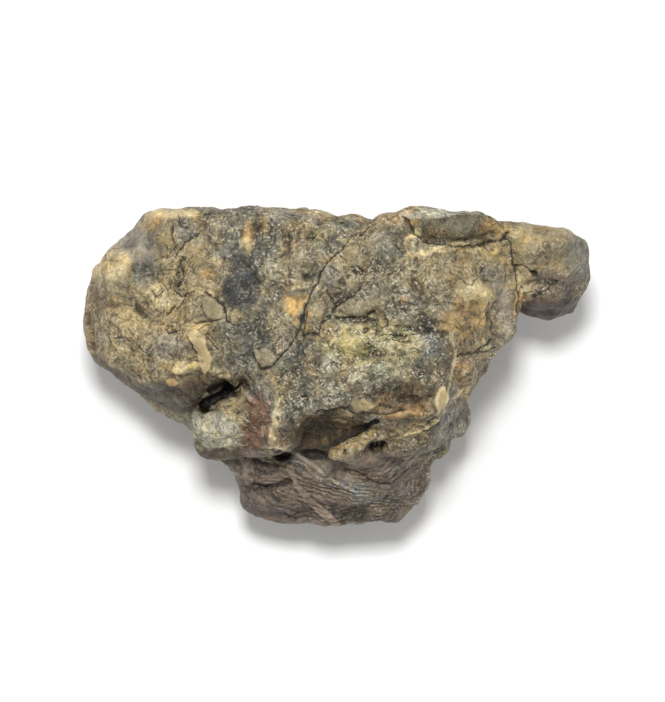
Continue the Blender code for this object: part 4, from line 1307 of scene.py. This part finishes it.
@dataclass(frozen=True)
class WearAndPaintedLight:
    """Brown grime and painted shade in the hollows, and a rubbed pale edge with painted highlight on the
    crests.

    The deeper a hollow lies the darker it is painted, and the further a crest stands out the paler, so the
    shading of the relief is painted into the colour along with the grime and the wear. Each of them is found
    twice: a fine one against a blur of few passes, and a broad one against many. A pair is the depth where it
    starts and where it is full, in millimetres.
    """

    fine_passes: int = 3
    broad_passes: int = 24
    fine_dirt_and_shade: Pair = (0.004, 0.06)
    fine_dirt_and_shade_share: float = 0.55
    broad_dirt_and_shade: Pair = (0.02, 0.22)
    broad_dirt_and_shade_share: float = 0.6
    most_dirt_and_shade: float = 0.9
    shade_under_dirt: float = 0.22
    dirt_and_shade: Tint = Tint.UMBER
    dirt_light: float = 0.1
    fine_rub_and_highlight: Pair = (0.006, 0.05)
    fine_rub_and_highlight_share: float = 0.35
    broad_rub_and_highlight: Pair = (0.05, 0.3)
    broad_rub_and_highlight_share: float = 0.2
    most_rub_and_highlight: float = 0.5
    rub_and_highlight_gain: float = 1.7
    palest: float = 0.85

    def laid_on(self, skin: Skin, colour: Rows) -> Rows:
        """The weathered colours of a skin, with painted shade in its hollows and painted highlight on its
        crests.

        Args:
            skin: the stone's skin.
            colour: the colour of each point.

        Returns:
            The weathered colours.
        """
        fine = skin.hollowness(self.fine_passes)
        broad = skin.hollowness(self.broad_passes)
        # Wear and painted highlight: the crests are made paler the further they stand out.
        rub_and_highlight = ramp(-fine, *self.fine_rub_and_highlight) * self.fine_rub_and_highlight_share
        rub_and_highlight += ramp(-broad, *self.broad_rub_and_highlight) * self.broad_rub_and_highlight_share
        pale = np.minimum(colour * self.rub_and_highlight_gain, self.palest)
        colour = blend(colour, pale, np.clip(rub_and_highlight, 0, self.most_rub_and_highlight))
        # Grime and painted shade: the hollows are made darker the deeper they lie.
        dirt_and_shade = ramp(fine, *self.fine_dirt_and_shade) * self.fine_dirt_and_shade_share
        dirt_and_shade += ramp(broad, *self.broad_dirt_and_shade) * self.broad_dirt_and_shade_share
        shaded_soil = colour * self.shade_under_dirt + self.dirt_and_shade.light * self.dirt_light
        return blend(colour, shaded_soil, np.clip(dirt_and_shade, 0, self.most_dirt_and_shade))


@dataclass(frozen=True)
class Cloud:
    """A broad cloud in the matrix: its tint, its noise, and the values where it starts and is full."""

    tint: Tint
    noise: Noise
    edge: Pair


# How much of the matrix a cloud covers at its fullest.
CLOUD_SHARE = 0.8
CLOUDS = [
    Cloud(T.TAN_CLAY, Noise(51, 9.0, 4), (-0.1, 0.5)),
    Cloud(T.GREY_MATRIX, Noise(52, 7.0, 4), (0.0, 0.5)),
    Cloud(T.DARK_GLASS, Noise(53, 6.0, 4), (0.25, 0.6)),
    Cloud(T.OCHRE, Noise(54, 5.0, 4), (0.4, 0.75)),
    Cloud(T.LIGHT_TAN, Noise(55, 3.0, 4), (0.45, 0.9)),
    Cloud(T.LOBE_BROWN, Noise(56, 8.0, 4), (0.1, 0.6)),
]


@dataclass
class Stone:
    """The meteorite: the solid's own form, with the relief and the colours that show from up close.

    A relief has its noise and its height in millimetres. A share goes from 0 to 1.
    """

    node: bpy.types.Object
    voxel_mm: float = 0.27
    weld_mm: float = 0.001
    facet_smoothing: int = 45
    smoothing_share: float = 0.5
    triangle_limit: int = 190_000
    swells: Noise = Noise(11, 3.4)
    swell_mm: float = 0.26
    grain_bend: Noise = Noise(20, 2.0)
    grain_bend_mm: float = 0.5
    knobs: Noise = Noise(12, 2.1)
    knob_mm: float = 0.24
    knob_least: float = 0.4
    crumbs: Noise = Noise(13, 1.0)
    crumb_mm: float = 0.18
    crumb_least: float = 0.3
    grain_rim: float = 0.55
    scratches: Noise = Noise(14, 1.5)
    scratch_mm: float = 0.18
    scales: Noise = Noise(15, 2.4, 4)
    scale_mm: float = 0.34
    scale_middle: float = 0.4
    side_relief: float = 0.3
    least_relief: float = 0.08
    layer_calm: float = 0.6
    lump_share: float = 2.1
    proud_from: float = 0.2
    mark_edges: Noise = Noise(3, 2.2, 4)
    layer_waves: Noise = Noise(60, 2.6)
    layer_ripples: Noise = Noise(61, 1.0)
    layer_ripple_share: float = 0.4
    layer_wave_mm: float = 0.5
    line_waves: Noise = Noise(31, 1.1)
    line_ripples: Noise = Noise(32, 0.5)
    line_ripple_share: float = 0.5
    line_facing: float = 0.05
    ridge_share: float = 0.6
    flecks: Noise = Noise(41, 5.0)
    fleck_shares: Pair = (0.25, 0.5)
    pits: Noise = Noise(42, 4.0)
    pit_shares: Pair = (0.3, 0.4)
    usual_noise: Pair = (-0.3, 0.5)
    layers_calm: Pair = (0.7, 0.95)
    underside: Pair = (-11.0, -2.0)
    underside_share: float = 0.5

    def build(self) -> bpy.types.Object:
        """Makes the stone's piece.

        Returns:
            The piece, which stands for the solid and rides on its body.
        """
        piece = self._smooth_copy()
        skin = Skin(piece.data)
        self._nudge(skin)
        skin.settle_in()
        seen = SIGHT.picture_points(skin.points)
        warp = self.mark_edges.fractal(skin.points)
        weights = [patch.weight(seen, warp) * skin.front for patch in PATCHES]
        for patch, weight in zip(PATCHES, weights):
            warn_of_miss(patch.name, weight)
        layers = self._lay(skin, seen)
        self._roughen(skin, weights, seen, warp, layers)
        cracks, ridges = self._draw_lines(skin, seen)
        self._dress(skin, weights, ridges, layers)
        skin.paint("crack", cracks)
        skin.paint("layer", layers.phase)
        self._settle(skin)
        self._thin_out(piece)
        piece.data.materials.clear()
        piece.data.materials.append(Rind().build())
        piece.data.shade_smooth()
        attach(piece, "root")
        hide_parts("stone")
        return piece

    def _smooth_copy(self) -> bpy.types.Object:
        """A fine even mesh over the solid, with its facets smoothed away.

        Returns:
            The piece.
        """
        piece = bpy.data.objects.new("weathered_stone", self.node.data.copy())
        bpy.context.scene.collection.objects.link(piece)
        weld = piece.modifiers.new("weld", "WELD")
        weld.merge_threshold = self.weld_mm * MM
        voxels = piece.modifiers.new("voxels", "REMESH")
        voxels.mode = "VOXEL"
        voxels.voxel_size = self.voxel_mm * MM
        soften = piece.modifiers.new("soften", "SMOOTH")
        soften.factor = self.smoothing_share
        soften.iterations = self.facet_smoothing
        self._apply(piece)
        return piece

    def _apply(self, piece: bpy.types.Object) -> None:
        """Turns what the modifiers make into the piece's own mesh.

        Args:
            piece: the stone's piece.
        """
        graph = bpy.context.evaluated_depsgraph_get()
        made = bpy.data.meshes.new_from_object(piece.evaluated_get(graph))
        piece.modifiers.clear()
        piece.data = made

    def _nudge(self, skin: Skin) -> None:
        """Brings the outline to where the camera sees it, by moving the stone's edges sideways a little.

        Args:
            skin: the stone's skin.
        """
        seen = SIGHT.picture_points(skin.points)
        moved = skin.points.copy()
        for at, reach, by in NUDGES:
            share = np.exp(-((seen - at) ** 2).sum(1) / reach ** 2)[:, None]
            moved[:, :2] += share * np.multiply(by, (1, -1)) / SIGHT.px_per_mm
        skin.move_to(moved)

    def _lay(self, skin: Skin, seen: Rows) -> Layers:
        """Lays the folds over the skin: where they overlap, the stronger one shows.

        Args:
            skin: the stone's skin.
            seen: picture points, in pixels.

        Returns:
            The layers.
        """
        waves = self.layer_waves.sway(skin.home)[:, :2]
        bend = waves + self.layer_ripples.sway(skin.home)[:, :2] * self.layer_ripple_share
        bent = seen + bend * self.layer_wave_mm * SIGHT.px_per_mm
        layers = Layers(np.zeros(len(seen)), np.zeros(len(seen)), np.zeros(len(seen)))
        for fold in FOLDS:
            share = fold.zone(bent) * skin.front
            warn_of_miss(fold.name, share)
            phase = fold.phase(bent)
            stronger = share > layers.share
            layers.phase[stronger] = phase[stronger]
            layers.rise[stronger] = ((0.5 - 2 * np.abs(phase % 1.0 - 0.5)) * fold.rise * share)[stronger]
            layers.share = np.maximum(layers.share, share)
        return layers

    def _roughen(self, skin: Skin, weights: list[Rows], seen: Rows, warp: Rows, layers: Layers) -> None:
        """Gives the skin its lumps, layers, scales and crumbs, quieter on smooth clasts and at the sides.

        Args:
            skin: the stone's skin.
            weights: each patch's weight at every point.
            seen: picture points, in pixels.
            warp: how far the edges of the marks wander at every point.
            layers: the folds laid over the skin.
        """
        quiet = self.side_relief + (1 - self.side_relief) * skin.front
        broad = self.swells.fractal(skin.points) * self.swell_mm
        for patch, weight in zip(PATCHES, weights):
            quiet = quiet * (1 - patch.smooth * weight)
            if patch.proud:
                broad += patch.proud * ramp(weight, self.proud_from, 1.0)
        for lump in LUMPS:
            height = lump.height(seen, warp) * skin.front
            warn_of_miss(lump.name, height)
            broad += height * self.lump_share
        broad += layers.rise
        bent = skin.points + self.grain_bend.sway(skin.points) * self.grain_bend_mm
        away, luck = self.knobs.grains(bent)
        fine = (self.grain_rim - away) * (self.knob_least + luck) * self.knob_mm
        away, luck = self.crumbs.grains(bent)
        fine += (self.grain_rim - away) * (self.crumb_least + luck) * self.crumb_mm
        fine -= np.abs(self.scratches.fractal(bent)) * self.scratch_mm
        fine += (self.scale_middle - np.abs(self.scales.fractal(bent))) * self.scale_mm
        fine *= self.least_relief + (1 - self.least_relief) * quiet
        skin.raise_by(broad + fine * (1 - self.layer_calm * layers.share))

    def _draw_lines(self, skin: Skin, seen: Rows) -> tuple[Rows, Ridges]:
        """Cuts the cracks and lifts the ridges.

        Args:
            skin: the stone's skin.
            seen: picture points, in pixels.

        Returns:
            The gap from the nearest crack's middle, in half widths of its hairline, signed by side, and each
            ridge's tint with its share of every point.
        """
        waves = self.line_waves.sway(skin.home)[:, :2]
        wander = waves + self.line_ripples.sway(skin.home)[:, :2] * self.line_ripple_share
        heights = np.zeros(len(seen))
        cracks = np.full(len(seen), FAR)
        ridges = []
        for line in LINES:
            strayed = seen + wander * line.wander * SIGHT.px_per_mm
            gap = distance_to_path(strayed, line.path) / SIGHT.px_per_mm
            gap = np.where(skin.front > self.line_facing, gap, FAR)
            profile = ramp(-np.abs(gap), -line.width / 2, 0.0)
            warn_of_miss(line.name, profile)
            heights += profile * line.rise * skin.front
            if line.tint is not None:
                ridges.append((line.tint, profile * skin.front * self.ridge_share))
            if line.hair > 0:
                scaled = gap / (line.hair / 2)
                cracks = np.where(np.abs(scaled) < np.abs(cracks), scaled, cracks)
        skin.raise_by(heights)
        return np.clip(cracks, -FAR, FAR), ridges

    def _dress(self, skin: Skin, weights: list[Rows], ridges: Ridges, layers: Layers) -> None:
        """Paints the rind.

        Args:
            skin: the stone's skin.
            weights: each patch's weight at every point.
            ridges: each ridge's tint with its share of every point.
            layers: the folds laid over the skin.
        """
        colour = self._base_colours(skin)
        flecks = self._spread(skin, self.flecks, self.fleck_shares)
        pits = self._spread(skin, self.pits, self.pit_shares)
        gloss = np.zeros(len(skin.home))
        calm = np.zeros(len(skin.home))
        for patch, weight in zip(PATCHES, weights):
            colour = blend(colour, patch.tint.light, weight * patch.strength)
            if patch.flecks is not None:
                flecks = blend(flecks, patch.flecks, weight)
            if patch.pits is not None:
                pits = blend(pits, patch.pits, weight)
            gloss = np.maximum(gloss, patch.gloss * weight)
            calm = blend(calm, patch.smooth, weight)
        for tint, share in ridges:
            colour = blend(colour, tint.light, share)
        # Grime and painted shade in the hollows, wear and painted highlight on the crests.
        skin.paint("rind", WearAndPaintedLight().laid_on(skin, colour))
        skin.paint("flecks", flecks)
        skin.paint("pits", pits)
        skin.paint("gloss", gloss)
        skin.paint("calm", calm)
        skin.paint("layered", layers.share * (1 - ramp(calm, *self.layers_calm)))

    def _spread(self, skin: Skin, pattern: Noise, shares: Pair) -> Rows:
        """How much of a mark the matrix has: the first share everywhere, and up to the second one more."""
        least, more = shares
        return least + more * ramp(pattern.fractal(skin.home), *self.usual_noise)

    def _base_colours(self, skin: Skin) -> Rows:
        """The matrix all round the stone: olive, clay and glass in broad clouds.

        Args:
            skin: the stone's skin.

        Returns:
            The colour of each point.
        """
        colour = np.tile(Tint.OLIVE_MATRIX.light, (len(skin.points), 1))
        for cloud in CLOUDS:
            share = ramp(cloud.noise.fractal(skin.home), *cloud.edge) * CLOUD_SHARE
            colour = blend(colour, cloud.tint.light, share)
        under = ramp(-skin.points[:, 2], *self.underside) * self.underside_share
        return blend(colour, Tint.LOBE_BROWN.light, under)

    def _settle(self, skin: Skin) -> None:
        """Keeps the resting face flat and nothing below the floor."""
        skin.move_to(np.maximum(skin.points, (-np.inf, -np.inf, 0.0)))

    def _thin_out(self, piece: bpy.types.Object) -> None:
        """Brings the piece under its triangle limit.

        Args:
            piece: the stone's piece.
        """
        triangles = sum(len(face.vertices) - 2 for face in piece.data.polygons)
        log.info("skin has %d triangles before thinning", triangles)
        if triangles > self.triangle_limit:
            thin = piece.modifiers.new("thin", "DECIMATE")
            thin.ratio = self.triangle_limit / triangles
            self._apply(piece)


@dataclass(frozen=True)
class Paper:
    """Matt white paper: a pale table that shows the shadow and no gloss."""

    white: float = 0.9
    roughness: float = 0.9

    def build(self) -> bpy.types.Material:
        """Makes the material.

        Returns:
            The material.
        """
        paper = bpy.data.materials.new("matt_white_paper")
        paper.use_nodes = True
        shader = paper.node_tree.nodes["Principled BSDF"]
        shader.inputs["Base Color"].default_value = (self.white, self.white, self.white, 1.0)
        shader.inputs["Roughness"].default_value = self.roughness
        return paper


@dataclass
class Studio:
    """A white table under soft light that comes from beyond the stone's upper edge."""

    table_m: float = 1.6
    key_m: float = 0.13
    key_place: tuple[float, float, float] = (-0.02, 0.21, 0.66)
    key_watts: float = 3.8
    sky: float = 0.5

    def build(self) -> None:
        """Makes the table, the lamp and the sky."""
        half = self.table_m / 2
        mesh = bpy.data.meshes.new("table")
        places = [(-half, -half, 0), (half, -half, 0), (half, half, 0), (-half, half, 0)]
        mesh.from_pydata(places, [], [(0, 1, 2, 3)])
        table = bpy.data.objects.new("table", mesh)
        bpy.context.scene.collection.objects.link(table)
        table.data.materials.append(Paper().build())
        lamp = bpy.data.objects.new("key", bpy.data.lights.new("key", "AREA"))
        lamp.data.size = self.key_m
        lamp.data.energy = self.key_watts
        lamp.location = self.key_place
        lamp.rotation_mode = "QUATERNION"
        lamp.rotation_quaternion = Vector(self.key_place).to_track_quat("Z", "Y")
        bpy.context.scene.collection.objects.link(lamp)
        world = bpy.data.worlds.new("sky")
        world.use_nodes = True
        world.node_tree.nodes["Background"].inputs["Color"].default_value = (1.0, 1.0, 1.0, 1.0)
        world.node_tree.nodes["Background"].inputs["Strength"].default_value = self.sky
        bpy.context.scene.world = world
        bpy.context.scene.view_settings.view_transform = "Standard"


def main() -> None:
    """Builds the stone on its table."""
    logging.basicConfig(level=logging.INFO, format="%(name)s: %(message)s")
    noise.seed_set(NOISE_SEED)
    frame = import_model()
    SIGHT.build()
    stone = Stone(frame["nodes"]["stone"]).build()
    log.info("%s: %d faces", stone.name, len(stone.data.polygons))
    Studio().build()
    log.info("studio: table, key light and sky")


if __name__ == "__main__":
    main()
